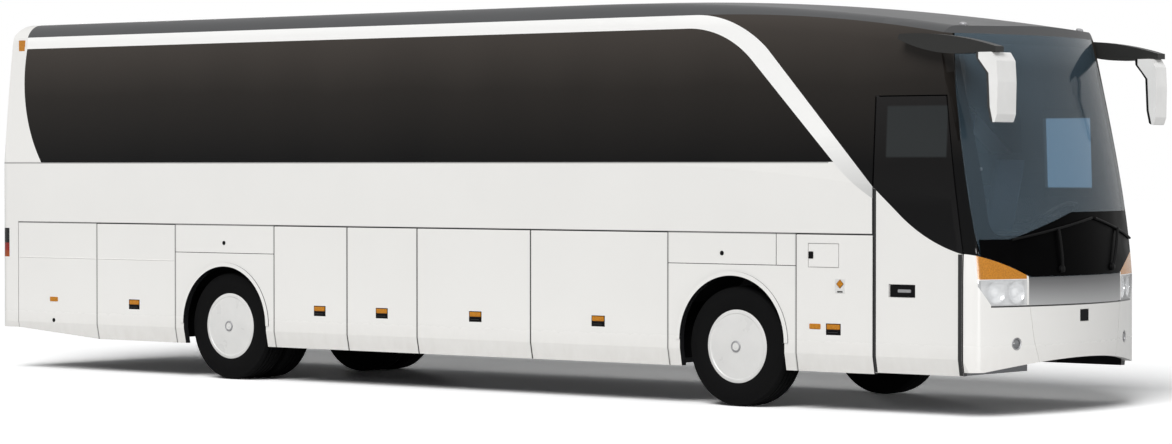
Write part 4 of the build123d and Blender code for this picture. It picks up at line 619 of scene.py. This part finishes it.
def add_lathe(build, profile, centre, direction, steps):
    """Turns (radius, distance along direction) points about the line through centre."""
    axis = Vector(direction).normalized()
    side = axis.orthogonal().normalized()
    other = axis.cross(side)
    rings = []
    for radius, along in profile:
        middle = Vector(centre) + axis * along
        if radius < 1e-6:
            rings.append([build.verts.new(middle)])
            continue
        ring = []
        for step in range(steps):
            angle = 2 * math.pi * step / steps
            spoke = radius * (math.cos(angle) * side + math.sin(angle) * other)
            ring.append(build.verts.new(middle + spoke))
        rings.append(ring)
    for first, second in zip(rings, rings[1:]):
        for step in range(steps):
            after = (step + 1) % steps
            corners = [first[step % len(first)], first[after % len(first)]]
            corners += [second[after % len(second)], second[step % len(second)]]
            corners = list(dict.fromkeys(corners))
            if len(corners) > 2:
                build.faces.new(corners)


def lathe(name, profile, centre, direction, material, body, steps):
    build = bmesh.new()
    add_lathe(build, profile, centre, direction, steps)
    piece(name, finished(build, name), material, body)


def rod(name, points, radius, material, body):
    """Round bar along a smooth line through a few points."""
    curve = bpy.data.curves.new(name, "CURVE")
    curve.dimensions = "3D"
    curve.bevel_depth = radius
    curve.bevel_resolution = 3
    curve.use_fill_caps = True
    line = curve.splines.new("NURBS")
    line.points.add(len(points) - 1)
    for point, place in zip(line.points, points):
        point.co = (*place, 1.0)
    line.order_u = min(ROD_ORDER, len(points))
    line.use_endpoint_u = True
    maker = bpy.data.objects.new(name, curve)
    scene.collection.objects.link(maker)
    shaped = maker.evaluated_get(bpy.context.evaluated_depsgraph_get())
    mesh = bpy.data.meshes.new_from_object(shaped)
    bpy.data.objects.remove(maker)
    piece(name, mesh, material, body, 60.0)


def surface_point(node, y, z):
    """Where a line along -X from ahead of the coach meets a node, with the surface's normal."""
    hit, place, normal, _ = NODES[node].ray_cast(Vector((AHEAD, y, z)), BACKWARD)
    if not hit:
        raise ValueError(f"{node} isn't met at y {y} z {z}")
    return place, normal


def shell(name, columns, material, body, smooth_deg=35.0):
    """Closed thin shell from columns of (front, back) points."""
    build = bmesh.new()
    grid = [[[build.verts.new(point) for point in pair] for pair in column] for column in columns]
    last, top = len(grid) - 1, len(grid[0]) - 1
    for i in range(last):
        for j in range(top):
            a, b, c, d = grid[i][j], grid[i + 1][j], grid[i + 1][j + 1], grid[i][j + 1]
            build.faces.new((a[0], b[0], c[0], d[0]))
            build.faces.new((d[1], c[1], b[1], a[1]))
        for j in (0, top):
            a, b = grid[i][j], grid[i + 1][j]
            build.faces.new((a[0], a[1], b[1], b[0]))
    for i in (0, last):
        for j in range(top):
            a, b = grid[i][j], grid[i][j + 1]
            build.faces.new((a[0], b[0], b[1], a[1]))
    return piece(name, finished(build, name), material, body, smooth_deg)


# Wheels: tyres with grooved tread, domed covers

Wheel = namedtuple("Wheel", "end body planes")
WHEELS = [Wheel("front", "front_wheel", (0.0,)), Wheel("rear", "rear_wheels", (0.0, -0.330))]
WHEEL_STEPS = 72
TYRE_HALF_W = 0.1475
TREAD_HALF_W = 0.118
BEAD_HALF_W = 0.108
BEAD_RADIUS = 0.2865
WALL_STEPS = 8
WALL_DROP = 0.03
GROOVES_AT = (-0.075, -0.025, 0.025, 0.075)
GROOVE_HALF_W = 0.006
GROOVE_FOOT_HALF_W = GROOVE_HALF_W * 0.6
GROOVE_DEPTH = 0.014
COVER_RISE = 0.024
COVER_SET_BACK = 0.027
DOME_STEPS = 9
COVER_RING = [(0.049, 0.022), (0.049, 0.031), (0.044, 0.034), (0.037, 0.034)]
COVER_RING += [(0.034, 0.030), (0.034, 0.022), (0.049, 0.022)]


def tyre_profile(radius):
    """Outline from bead over the tread to bead, as (radius, distance) points."""
    mean = 0.5 * (radius - WALL_DROP + BEAD_RADIUS)
    swing = 0.5 * (radius - WALL_DROP - BEAD_RADIUS)
    wall = []
    for step in range(WALL_STEPS + 1):
        angle = math.pi * (0.08 + 0.62 * step / WALL_STEPS)
        bulge = (TYRE_HALF_W - BEAD_HALF_W) * math.sin(angle)
        wall.append((mean - swing * math.cos(angle * 1.1), BEAD_HALF_W + bulge))
    shoulder = [(radius - 0.016, TREAD_HALF_W + 0.014), (radius - 0.004, TREAD_HALF_W)]
    floor = radius - GROOVE_DEPTH
    tread = []
    for middle in reversed(GROOVES_AT):
        tread += [(radius, middle + GROOVE_HALF_W), (floor, middle + GROOVE_FOOT_HALF_W)]
        tread += [(floor, middle - GROOVE_FOOT_HALF_W), (radius, middle - GROOVE_HALF_W)]
    half = [(BEAD_RADIUS, BEAD_HALF_W), *wall, *shoulder]
    other_half = [(r, -a) for r, a in reversed(half)]
    return [*half, *tread, *other_half, (BEAD_RADIUS, BEAD_HALF_W)]


def cover_profile(radius):
    """Shallow dome with a raised ring near its edge and a round cap in the middle."""
    points = [(radius, 0.0), (radius, 0.008), (radius - 0.012, 0.014)]
    points += [(radius - 0.030, 0.015), (radius - 0.036, 0.011)]
    dome = radius - 0.040
    for step in range(1, DOME_STEPS):
        share = step / DOME_STEPS
        rise = 0.011 + (COVER_RISE - 0.011) * math.sin(share * math.pi / 2)
        points.append((dome * (1 - share) + 0.050 * share, rise))
    cap = [(0.046, 0.0), (0.046, 0.006), (0.038, 0.008), (0.034, 0.005)]
    cap += [(0.016, 0.005), (0.014, 0.008), (0.0, 0.008)]
    return points + [(r, COVER_RISE + height) for r, height in cap]


for wheel in WHEELS:
    for side, sign in SIDES.items():
        outward = (0, sign, 0)
        label = f"{wheel.end}_{side}"
        tyre_node = f"tyre_{label}"
        body = f"{wheel.body}_{side}"
        low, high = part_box(tyre_node)
        radius = (high[2] - low[2]) / 2
        outer_y = max(abs(low[1]), abs(high[1])) - TYRE_HALF_W
        centre = Vector(((low[0] + high[0]) / 2, sign * outer_y, (high[2] + low[2]) / 2))
        build = bmesh.new()
        for plane in wheel.planes:
            middle = centre + Vector((0, sign * plane, 0))
            add_lathe(build, tyre_profile(radius), middle, outward, WHEEL_STEPS)
        tyre = piece(f"road_{tyre_node}", finished(build, tyre_node), tyre_rubber, body)
        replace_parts(tyre, tyre_node)
        low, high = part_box(f"wheel_{label}")
        cap_y = max(abs(low[1]), abs(high[1]))
        base = Vector((centre.x, sign * (cap_y - COVER_SET_BACK), centre.z))
        cover = cover_profile((high[2] - low[2]) / 2)
        lathe(f"cover_{label}", cover, base, outward, cover_white, body, WHEEL_STEPS)
        lathe(f"cover_ring_{label}", COVER_RING, base, outward, grey_metal, body, 40)


# Side trim: flap handles with reflectors, locks, marker lamps, door handle, seals, crease beads

TRIM_BEVEL = 0.004
HANDLE_Z = 0.690
HANDLE_SHARES = {"rear_flap": 0.48, "bay_flap_4": 0.63, "bay_flap_2": 0.52, "front_flap": 0.49}
# Name, rise over HANDLE_Z, size, material, depth in the skin, height over it
HANDLE_PARTS = [
    ("handle", 0.0, (0.146, 0.092), black_trim, 0.014, 0.001),
    ("reflector", 0.020, (0.134, 0.042), amber, 0.002, 0.005),
    ("grip", -0.026, (0.110, 0.014), black_gloss, 0.002, 0.006),
]
# Name, x, z, size, material, body, height over the skin
SIDE_SPOTS = [
    ("marker_plate", 4.427, 1.052, (0.110, 0.125), cover_white, "front_flap", 0.003),
    ("marker_strip", 4.427, 1.004, (0.062, 0.018), black_trim, "front_flap", 0.006),
    ("front_reflector", 4.171, 0.710, (0.115, 0.045), amber, "front_flap", 0.006),
    ("rear_reflector", -5.188, 0.715, (0.115, 0.045), amber, "coach", 0.006),
]
LENS = (4.427, 1.068, (0.056, 0.056))
EIGHTH_TURN = Matrix.Rotation(math.radians(45.0), 3, "Y")
LOCK = [(0.020, 0.0), (0.020, 0.007), (0.017, 0.009), (0.006, 0.009), (0.006, 0.006), (0.0, 0.006)]
LOCKS = {"rear_wheel": (-2.784, 1.309), "front_wheel": (3.198, 1.306), "engine": (-5.189, 0.505)}
PAN_X, PAN_Z = DOOR_LOW[0] + 0.288, 1.024
SEAL_FOOT_Z = DOOR_LOW[2] + 0.004
CREASE_Z = 1.130
CREASES = {"engine": (-5.700, -4.575), "rear_flap": (-4.545, -3.465)}


def side_block(name, x, z, size, material, body, side, depth, proud, skin=HALF_W, turn=None):
    """Small block let into a side skin, standing a little proud of it."""
    ys = sorted(SIDES[side] * reach for reach in (skin + proud, skin - depth))
    low = (x - size[0] / 2, ys[0], z - size[1] / 2)
    high = (x + size[0] / 2, ys[1], z + size[1] / 2)
    block(name, low, high, material, body, TRIM_BEVEL, turn=turn)


for side in SIDES:
    for flap in FLAP_NAMES:
        node = f"{flap}_{side}"
        low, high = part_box(node)
        x = low[0] + HANDLE_SHARES.get(flap, 0.5) * (high[0] - low[0])
        for part, rise, size, material, depth, proud in HANDLE_PARTS:
            z = HANDLE_Z + rise
            side_block(f"{part}_{node}", x, z, size, material, node, side, depth, proud)

for side, sign in SIDES.items():
    flap = f"front_flap_{side}"
    for name, x, z, size, material, body, proud in SIDE_SPOTS:
        rider = flap if body == "front_flap" else body
        side_block(f"{name}_{side}", x, z, size, material, rider, side, 0.006, proud)
    lens = f"marker_lens_{side}"
    side_block(lens, *LENS, amber, flap, side, 0.006, 0.007, turn=EIGHTH_TURN)
    for label, (x, z) in LOCKS.items():
        centre = (x, sign * (HALF_W - 0.004), z)
        lathe(f"{label}_lock_{side}", LOCK, centre, (0, sign, 0), black_trim, "coach", 20)

FUEL_LOCK = ("fuel_lid_lock", 4.129, 1.304, (0.050, 0.062))
HANDLE_PAN = ("door_handle_pan", PAN_X, PAN_Z, (0.250, 0.100))
HANDLE_BAR = ("door_handle_bar", PAN_X + 0.020, PAN_Z, (0.130, 0.026))
side_block(*FUEL_LOCK, black_trim, "front_flap_right", "right", 0.006, 0.004)
side_block(*HANDLE_PAN, black_trim, "door", "right", 0.007, 0.001)
side_block(*HANDLE_BAR, grey_metal, "door", "right", 0.003, 0.006)


def seal_strip(name, low_x, high_x, head_z):
    """Rubber strip on the door's edge that follows the tuck of the skirt."""
    build = bmesh.new()
    rows = []
    for z in (SEAL_FOOT_Z, TUCK_TOP_Z, head_z):
        skin = HALF_W - TUCK_SLOPE * max(0.0, TUCK_TOP_Z - z)
        inner, outer = skin - 0.004, skin + 0.003
        corners = [(low_x, inner), (low_x, outer), (high_x, outer), (high_x, inner)]
        rows.append([build.verts.new((x, -y, z)) for x, y in corners])
    for a, b in zip(rows, rows[1:]):
        for step in range(4):
            after = (step + 1) % 4
            build.faces.new((a[step], a[after], b[after], b[step]))
    build.faces.new(rows[0])
    build.faces.new(rows[-1])
    piece(name, finished(build, name), rubber, "door", 20.0)


seal_strip("door_seal_rear", DOOR_LOW[0] + 0.001, DOOR_LOW[0] + 0.025, 1.860)
seal_strip("door_seal_front", DOOR_HIGH[0] - 0.037, DOOR_HIGH[0] - 0.001, 1.332)

for side, sign in SIDES.items():
    for label, xs in CREASES.items():
        body = "coach" if label == "engine" else f"{label}_{side}"
        ends = [(x, sign * (HALF_W - 0.001), CREASE_Z) for x in xs]
        rod(f"crease_{label}_{side}", ends, 0.006, paint, body)


# Front: lamp insides, fog lamps, tow cover, black apron of the screen, wipers

LAMP_MID_Z = (LAMP_LOW[2] + LAMP_HIGH[2]) / 2
LAMP_YS = (0.83, 1.03)
BOWL = [(0.088, 0.030), (0.084, 0.030), (0.070, 0.012), (0.045, 0.002), (0.030, 0.0)]
PROJECTOR = [(0.040, 0.002), (0.040, 0.012), (0.036, 0.022), (0.024, 0.029), (0.0, 0.032)]
BOWL_INSET = 0.046
LAMP_BACK_STEPS = 14
LAMP_BACK_YS = (0.742, 1.150)
LAMP_BACK_DEPTHS = (0.050, 0.053)
LAMP_BACK_EDGE = 0.006
LAMP_PROBE_Z = 1.10
LAMP_CUT_Y = 1.085
LAMP_CUT_SLOPE = (LAMP_HIGH[2] - 0.050 - LAMP_LOW[2]) / 0.120
FOG_Y, FOG_Z, FOG_REACH = 0.840, 0.600, 0.075
FOG_RIM = [(0.051, 0.0), (0.051, 0.026), (0.046, 0.030), (0.040, 0.028), (0.038, 0.020)]
FOG_LENS = [(0.039, 0.018), (0.030, 0.023), (0.015, 0.026), (0.0, 0.027)]
TOW_LOW, TOW_HIGH = (FRONT_X - 0.014, -0.066, 0.764), (FRONT_X - 0.002, 0.066, 0.861)
APRON_HALF_W = 1.165
APRON_COLUMNS, APRON_ROWS = 48, 8
APRON_HEAD = [(-APRON_HALF_W, 1.450), (-0.870, 1.450), (-0.100, 1.665), (APRON_HALF_W, 1.665)]
FOOT_STEP = 0.004
# Name, then (y, z) of the spindle and the blade's inner and outer ends
WIPERS = [
    ("wiper_right", (-0.330, 1.200), (0.196, 1.613), (-0.868, 1.445)),
    ("wiper_left", (0.500, 1.200), (0.250, 1.610), (1.140, 1.428)),
]
BLADE_STEPS = 8
SPINDLE = [(0.030, 0.0), (0.030, 0.024), (0.020, 0.032), (0.0, 0.034)]


def lamp_disc(name, y, profile, material):
    """Round piece set square to the headlamp's skin and inset from it."""
    place, normal = surface_point("headlamps", y, LAMP_MID_Z)
    lathe(name, profile, place - normal * BOWL_INSET, normal, material, "coach", 36)


for side, sign in SIDES.items():
    columns = []
    for step in range(LAMP_BACK_STEPS + 1):
        y = LAMP_BACK_YS[0] + (LAMP_BACK_YS[1] - LAMP_BACK_YS[0]) * step / LAMP_BACK_STEPS
        foot = LAMP_LOW[2] + LAMP_CUT_SLOPE * max(0.0, y - LAMP_CUT_Y) + LAMP_BACK_EDGE
        column = []
        for z in (foot, LAMP_HIGH[2] - LAMP_BACK_EDGE):
            place, normal = surface_point("headlamps", sign * y, min(z, LAMP_PROBE_Z))
            spots = [place - normal * depth for depth in LAMP_BACK_DEPTHS]
            column.append([Vector((spot.x, spot.y, z)) for spot in spots])
        columns.append(column)
    shell(f"lamp_back_{side}", columns, lamp_white, "coach")
    for index, y in enumerate(LAMP_YS):
        lamp_disc(f"lamp_bowl_{side}_{index}", sign * y, BOWL, chrome)
        lamp_disc(f"lamp_lens_{side}_{index}", sign * y, PROJECTOR, lamp_white)

for side, sign in SIDES.items():
    near, normal = surface_point("front_mask", sign * (FOG_Y - FOG_REACH), FOG_Z)
    far, _ = surface_point("front_mask", sign * (FOG_Y + FOG_REACH), FOG_Z)
    centre = (near + far) / 2 - normal * 0.030
    lathe(f"fog_rim_{side}", FOG_RIM, centre, normal, grey_metal, "coach", 32)
    lathe(f"fog_lens_{side}", FOG_LENS, centre, normal, fog_grey, "coach", 32)
block("tow_cover", TOW_LOW, TOW_HIGH, black_trim, "coach", TRIM_BEVEL)


def value_at(points, at):
    """Value at a place on a line through (place, value) points."""
    for (a, low), (b, high) in zip(points, points[1:]):
        if at <= b:
            return low + (high - low) * (at - a) / (b - a)
    return points[-1][1]


def screen_foot(y):
    """Lowest height at which the windscreen is met at a distance from the middle."""
    z = 1.0
    while not NODES["windscreen"].ray_cast(Vector((AHEAD, y, z)), BACKWARD)[0]:
        z += FOOT_STEP
    return z + FOOT_STEP


columns = []
for step in range(APRON_COLUMNS + 1):
    y = APRON_HALF_W * (2 * step / APRON_COLUMNS - 1)
    foot, head = screen_foot(y), value_at(APRON_HEAD, y)
    column = []
    for row in range(APRON_ROWS + 1):
        place, normal = surface_point("windscreen", y, foot + (head - foot) * row / APRON_ROWS)
        column.append([place + normal * 0.003, place + normal * 0.0005])
    columns.append(column)
shell("screen_apron", columns, panel_black, "coach")

for name, foot, inner, outer in WIPERS:
    points = []
    for step in range(BLADE_STEPS + 1):
        share = step / BLADE_STEPS
        y = outer[0] + share * (inner[0] - outer[0])
        z = outer[1] + share * (inner[1] - outer[1])
        place, normal = surface_point("windscreen", y, z)
        points.append(place + normal * 0.014)
    rod(f"{name}_blade", points, 0.011, pillar_black, "coach")
    base, normal = surface_point("windscreen", *foot)
    lathe(f"{name}_spindle", SPINDLE, base, normal, pillar_black, "coach", 24)
    middle = points[BLADE_STEPS // 2]
    knee = (base + middle) / 2 + normal * 0.030
    arm = [base + normal * 0.020, knee, middle + normal * 0.008]
    rod(f"{name}_arm", arm, 0.013, pillar_black, "coach")


# Windscreen: one smooth pane in place of the solid, after all that is set on the solid

SCREEN_AXIS_X = 4.600
SCREEN_ROWS = 24
SCREEN_STEP_DEG = 1.25
SCREEN_HALF_STEPS = 60
SCREEN_LEVEL_STEP = 0.01
SCREEN_END_REACH = 0.012
SCREEN_HALVINGS = 12
SCREEN_THICKNESS = 0.010
SCREEN_PASSES = 5
NUDGES = (0.0, 0.0005, -0.0005, 0.002, -0.002, 0.005, -0.005)


def screen_point(angle, z):
    """Where a level line towards an upright axis inside the coach meets the screen, or None."""
    ray = Vector((math.cos(angle), math.sin(angle), 0.0))
    start = Vector((SCREEN_AXIS_X, 0.0, z)) + 3.0 * ray
    hit, place, normal, _ = NODES["windscreen"].ray_cast(start, -ray)
    return (place, normal) if hit else None


def screen_end(angle, inner_z, outer_z):
    """Height of the screen's edge between one height on it and one off it."""
    for _ in range(SCREEN_HALVINGS):
        middle = (inner_z + outer_z) / 2
        if screen_point(angle, middle):
            inner_z = middle
        else:
            outer_z = middle
    return inner_z


def screen_run(angle):
    """Longest run of heights at which the screen is met."""
    count = int((SCREEN_HIGH[2] - SCREEN_LOW[2]) / SCREEN_LEVEL_STEP)
    runs = [[]]
    for step in range(1, count):
        z = SCREEN_LOW[2] + SCREEN_LEVEL_STEP * step
        if screen_point(angle, z):
            runs[-1].append(z)
        else:
            runs.append([])
    return max(runs, key=len)


def screen_column(angle):
    """Pairs of outer and inner points up the screen, or None where it has a gap."""
    met = screen_run(angle)
    if len(met) < 3:
        return None
    low = screen_end(angle, met[0], met[0] - SCREEN_END_REACH)
    high = screen_end(angle, met[-1], met[-1] + SCREEN_END_REACH)
    column = []
    for row in range(SCREEN_ROWS + 1):
        z = low + (high - low) * row / SCREEN_ROWS
        tries = (screen_point(angle, z + shift) for shift in NUDGES)
        found = next(filter(None, tries), None)
        if found is None:
            return None
        place, normal = found
        column.append([place, place - normal * SCREEN_THICKNESS])
    return column


def eased(columns):
    """Points moved halfway to the mean of their four neighbours, with the edges held."""
    moved = [[pair[:] for pair in column] for column in columns]
    for i in range(1, len(columns) - 1):
        before, here, after = columns[i - 1 : i + 2]
        for j in range(1, SCREEN_ROWS):
            for k in (0, 1):
                near = before[j][k] + after[j][k] + here[j - 1][k] + here[j + 1][k]
                moved[i][j][k] = here[j][k] * 0.5 + near * 0.125
    return moved


steps = range(-SCREEN_HALF_STEPS, SCREEN_HALF_STEPS + 1)
columns = [screen_column(math.radians(step * SCREEN_STEP_DEG)) for step in steps]
columns = list(filter(None, columns))
for _ in range(SCREEN_PASSES):
    columns = eased(columns)
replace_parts(shell("screen_pane", columns, screen_glass, "coach", 60.0), "windscreen")


# Mirrors: rounded housings, glass at the back

MIRROR_TILT = Matrix.Rotation(math.radians(-2.76), 3, "Y")
MIRROR_BACK_X = FRONT_X - 0.102
MIRROR_EDGE_W = 0.030
MIRROR_INNER_YS = {"right": 1.050, "left": 1.150}

for node, width in (("mirror_heads", 0.034), ("mirror_arms", 0.016)):
    rounder = NODES[node].modifiers.new("rounded", "BEVEL")
    rounder.width = width
    rounder.segments = 4
    rounder.limit_method = "ANGLE"
    rounder.angle_limit = math.radians(25)
    rounder.harden_normals = True
for side, inner_y in MIRROR_INNER_YS.items():
    reaches = (inner_y + MIRROR_EDGE_W, MIRROR_OUTER_Y - MIRROR_EDGE_W)
    low_y, high_y = sorted(SIDES[side] * reach for reach in reaches)
    low = (MIRROR_BACK_X - 0.006, low_y, 2.545)
    high = (MIRROR_BACK_X + 0.002, high_y, 2.775)
    block(f"mirror_glass_{side}", low, high, mirror_glass, "coach", 0.0015, 1, MIRROR_TILT)


# Roof and rear: marker lamps at the front corners, corner lamps, lid handle

MARKER = [(0.034, -0.006), (0.034, 0.008), (0.026, 0.018), (0.012, 0.022), (0.0, 0.023)]
MARKER_X, MARKER_Y = 5.390, 0.900
TOP_LAMP = (REAR_X + 0.268, 3.258, (0.092, 0.112))
TOP_LAMP_SKIN_Y = 1.2085
LID_HANDLE_LOW = (REAR_X - 0.006, -0.16, LID_LOW[2] + 0.06)
LID_HANDLE_HIGH = (REAR_X + 0.004, 0.16, LID_LOW[2] + 0.10)

for side, sign in SIDES.items():
    above = Vector((MARKER_X, sign * MARKER_Y, 5.0))
    _, place, normal, _ = NODES["roof"].ray_cast(above, DOWN)
    lathe(f"roof_marker_{side}", MARKER, place, normal, grey_metal, "coach", 24)
for side in SIDES:
    side_block(f"top_lamp_{side}", *TOP_LAMP, amber, "coach", side, 0.020, 0.002, TOP_LAMP_SKIN_Y)
block("lid_handle", LID_HANDLE_LOW, LID_HANDLE_HIGH, black_trim, "engine_lid", TRIM_BEVEL)


# Inside: handrail beside the steps, instrument cowl, padded seats on slim pedestals

RAIL_X = DOOR_LOW[0] + 0.12
RAIL = [
    (RAIL_X + 0.02, -0.36, 1.06),
    (RAIL_X, -0.36, 1.60),
    (RAIL_X + 0.04, -0.37, 2.02),
    (RAIL_X + 0.36, -0.40, 2.02),
]
COWL_LOW, COWL_HIGH = (5.520, 0.300, 1.480), (5.720, 0.980, 1.640)
SEAT_ROWS, SEAT_PITCH, FIRST_ROW_X = 12, 0.790, 4.300
SEAT_YS = (0.540, 0.960)
DRIVER_X, DRIVER_YS = 4.990, (0.660,)
FLOOR_Z = 1.470
PLATFORM_Z = 1.050
SEAT_W = 0.41
CUSHION_SIZE, CUSHION_CROWN = (0.42, SEAT_W, 0.105), 0.12
BACK_SIZE, BACK_CROWN = (0.66, SEAT_W, 0.095), 0.15
RECLINE = Matrix.Rotation(math.radians(-78.0), 3, "Y")
LEVEL = Matrix.Identity(3)
PAD_CELLS = 8
TRAY_HALF_W, POST_HALF_W = 0.17, 0.06

rod("entrance_rail", RAIL, 0.017, aluminium, "coach")
block("instrument_cowl", COWL_LOW, COWL_HIGH, dash_plastic, "coach", 0.05, 4)


def pad(build, centre, size, turn, crown):
    """Closed cushion whose two faces swell towards the middle and whose edges pull in."""
    faces = []
    unit_places = {}
    for level in (1.0, -1.0):
        grid = bmesh.ops.create_grid(build, x_segments=PAD_CELLS, y_segments=PAD_CELLS, size=1.0)
        faces.append(grid["verts"])
        unit_places.update({v: Vector((v.co.x, v.co.y, level)) for v in grid["verts"]})
    for vert, unit in unit_places.items():
        fall = (1 - unit.x**4) * (1 - unit.y**4)
        pull = 1 - 0.05 * (1 - min(1.0, fall * 3))
        height = 0.42 + 0.58 * min(1.0, fall * 2.2) ** 0.5 + crown * fall
        x, y = unit.x * pull * size[0] / 2, unit.y * pull * size[1] / 2
        vert.co = Vector((x, y, unit.z * height * size[2] / 2))
    verts = [vert for face in faces for vert in face]
    rims = [v for v in verts if max(abs(unit_places[v].x), abs(unit_places[v].y)) > 0.999]
    edges = [edge for vert in rims for edge in vert.link_edges if edge.is_boundary]
    bmesh.ops.bridge_loops(build, edges=list(dict.fromkeys(edges)))
    place = Matrix.Translation(centre) @ turn.to_4x4()
    bmesh.ops.transform(build, matrix=place, verts=verts)


def seat_set(name, x, floor_z, ys, replaced=False):
    """Cushions and backs for the places at ys, with one pedestal under them."""
    build = bmesh.new()
    for y in ys:
        cushion_at = Vector((x + 0.050, y, floor_z + 0.350))
        back_at = Vector((x - 0.205, y, floor_z + 0.740))
        pad(build, cushion_at, CUSHION_SIZE, LEVEL, CUSHION_CROWN)
        pad(build, back_at, BACK_SIZE, RECLINE, BACK_CROWN)
    seat = piece(name, finished(build, name), seat_fabric, "coach", 50.0)
    if replaced:
        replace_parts(seat, "seats")
    low_y, high_y = min(ys) - TRAY_HALF_W, max(ys) + TRAY_HALF_W
    middle_y = (low_y + high_y) / 2
    post_low = (x - 0.05, middle_y - POST_HALF_W, floor_z)
    post_high = (x + 0.09, middle_y + POST_HALF_W, floor_z + 0.25)
    base = bmesh.new()
    add_block(base, (x - 0.14, low_y, floor_z + 0.24), (x + 0.22, high_y, floor_z + 0.295), 0.01)
    add_block(base, post_low, post_high, 0.01)
    piece(f"{name}_pedestal", finished(base, f"{name}_pedestal"), steel_dark, "coach")


for row in range(SEAT_ROWS):
    x = FIRST_ROW_X - row * SEAT_PITCH
    for side, sign in SIDES.items():
        first = row == 0 and side == "right"
        seat_set(f"seats_{side}_{row + 1}", x, FLOOR_Z, [sign * y for y in SEAT_YS], first)
seat_set("driver_seat", DRIVER_X, PLATFORM_Z, DRIVER_YS)


# Floor, light and camera

FLOOR_REACH = 150.0
FLOOR_PALE = ((0.78, 0.78, 0.78), (0.80, 0.80, 0.80))
FLOOR_SEEN = (1.45, 1.45, 1.45)
AMBIENT_COLOUR, AMBIENT_STRENGTH = (0.96, 0.98, 1.0, 1.0), 0.12
# Name, direction, strength, spread in degrees
SUNS = [
    ("key", (-0.30, 0.85, -0.80), 2.7, 35.0),
    ("front", (-1.0, 0.10, -0.09), 0.75, 9.0),
    ("fill", (0.70, -0.60, -0.09), 0.6, 9.0),
]
CAMERA_PLACE = (21.480, -25.340, 2.048)
CAMERA_YAW = math.radians(39.416)
CAMERA_PITCH = math.radians(-0.907)
CAMERA_LENS = 109.12


def make_floor():
    """Pale floor that the camera sees as white where it is lit."""
    mesh = bpy.data.meshes.new("floor")
    corners = [(-1, -1), (1, -1), (1, 1), (-1, 1)]
    places = [(x * FLOOR_REACH, y * FLOOR_REACH, 0) for x, y in corners]
    mesh.from_pydata(places, [], [(0, 1, 2, 3)])
    plane = bpy.data.objects.new("floor", mesh)
    scene.collection.objects.link(plane)
    material, tree, shader = new_material("studio_floor")
    pale = ramp(tree, noise(tree, 0.4), list(zip((NOISE_LOW, NOISE_HIGH), FLOOR_PALE)))
    path = tree.nodes.new("ShaderNodeLightPath")
    tone = mixed(tree, path.outputs["Is Camera Ray"], pale, FLOOR_SEEN)
    feed(tree, shader, "Base Color", tone)
    fix(shader, {"Roughness": 1.0, "Specular IOR Level": 0.0})
    mesh.materials.append(material)


def make_world():
    """Weak even light, with a white backdrop where it is seen, mirrored or looked at through."""
    world = bpy.data.worlds.new("studio")
    scene.world = world
    world.use_nodes = True
    tree = world.node_tree
    tree.nodes.clear()
    output = tree.nodes.new("ShaderNodeOutputWorld")
    ambient = tree.nodes.new("ShaderNodeBackground")
    fix(ambient, {"Color": AMBIENT_COLOUR, "Strength": AMBIENT_STRENGTH})
    backdrop = tree.nodes.new("ShaderNodeBackground")
    fix(backdrop, {"Color": (1.0, 1.0, 1.0, 1.0), "Strength": 1.0})
    path = tree.nodes.new("ShaderNodeLightPath")
    seen = maths(tree, "ADD", path.outputs["Is Camera Ray"], path.outputs["Is Glossy Ray"])
    seen = maths(tree, "ADD", seen, path.outputs["Is Transmission Ray"])
    blend = tree.nodes.new("ShaderNodeMixShader")
    tree.links.new(maths(tree, "MINIMUM", seen, 1.0), blend.inputs[0])
    tree.links.new(ambient.outputs[0], blend.inputs[1])
    tree.links.new(backdrop.outputs[0], blend.inputs[2])
    tree.links.new(blend.outputs[0], output.inputs["Surface"])


def add_sun(name, toward, strength, spread_deg):
    """Soft light from far away, the same all over the floor."""
    data = bpy.data.lights.new(name, "SUN")
    data.energy = strength
    data.angle = math.radians(spread_deg)
    lamp = bpy.data.objects.new(name, data)
    lamp.rotation_euler = Vector(toward).to_track_quat("-Z", "Y").to_euler()
    scene.collection.objects.link(lamp)


def make_camera():
    camera = bpy.data.objects.new("camera", bpy.data.cameras.new("camera"))
    camera.data.lens = CAMERA_LENS
    camera.data.sensor_width = 36.0
    camera.data.clip_end = 500.0
    level = math.cos(CAMERA_PITCH)
    ahead = (-math.sin(CAMERA_YAW) * level, math.cos(CAMERA_YAW) * level, math.sin(CAMERA_PITCH))
    camera.location = CAMERA_PLACE
    camera.rotation_euler = Vector(ahead).to_track_quat("-Z", "Y").to_euler()
    scene.collection.objects.link(camera)
    scene.camera = camera


make_floor()
make_world()
for sun in SUNS:
    add_sun(*sun)
make_camera()
scene.view_settings.view_transform = "Standard"
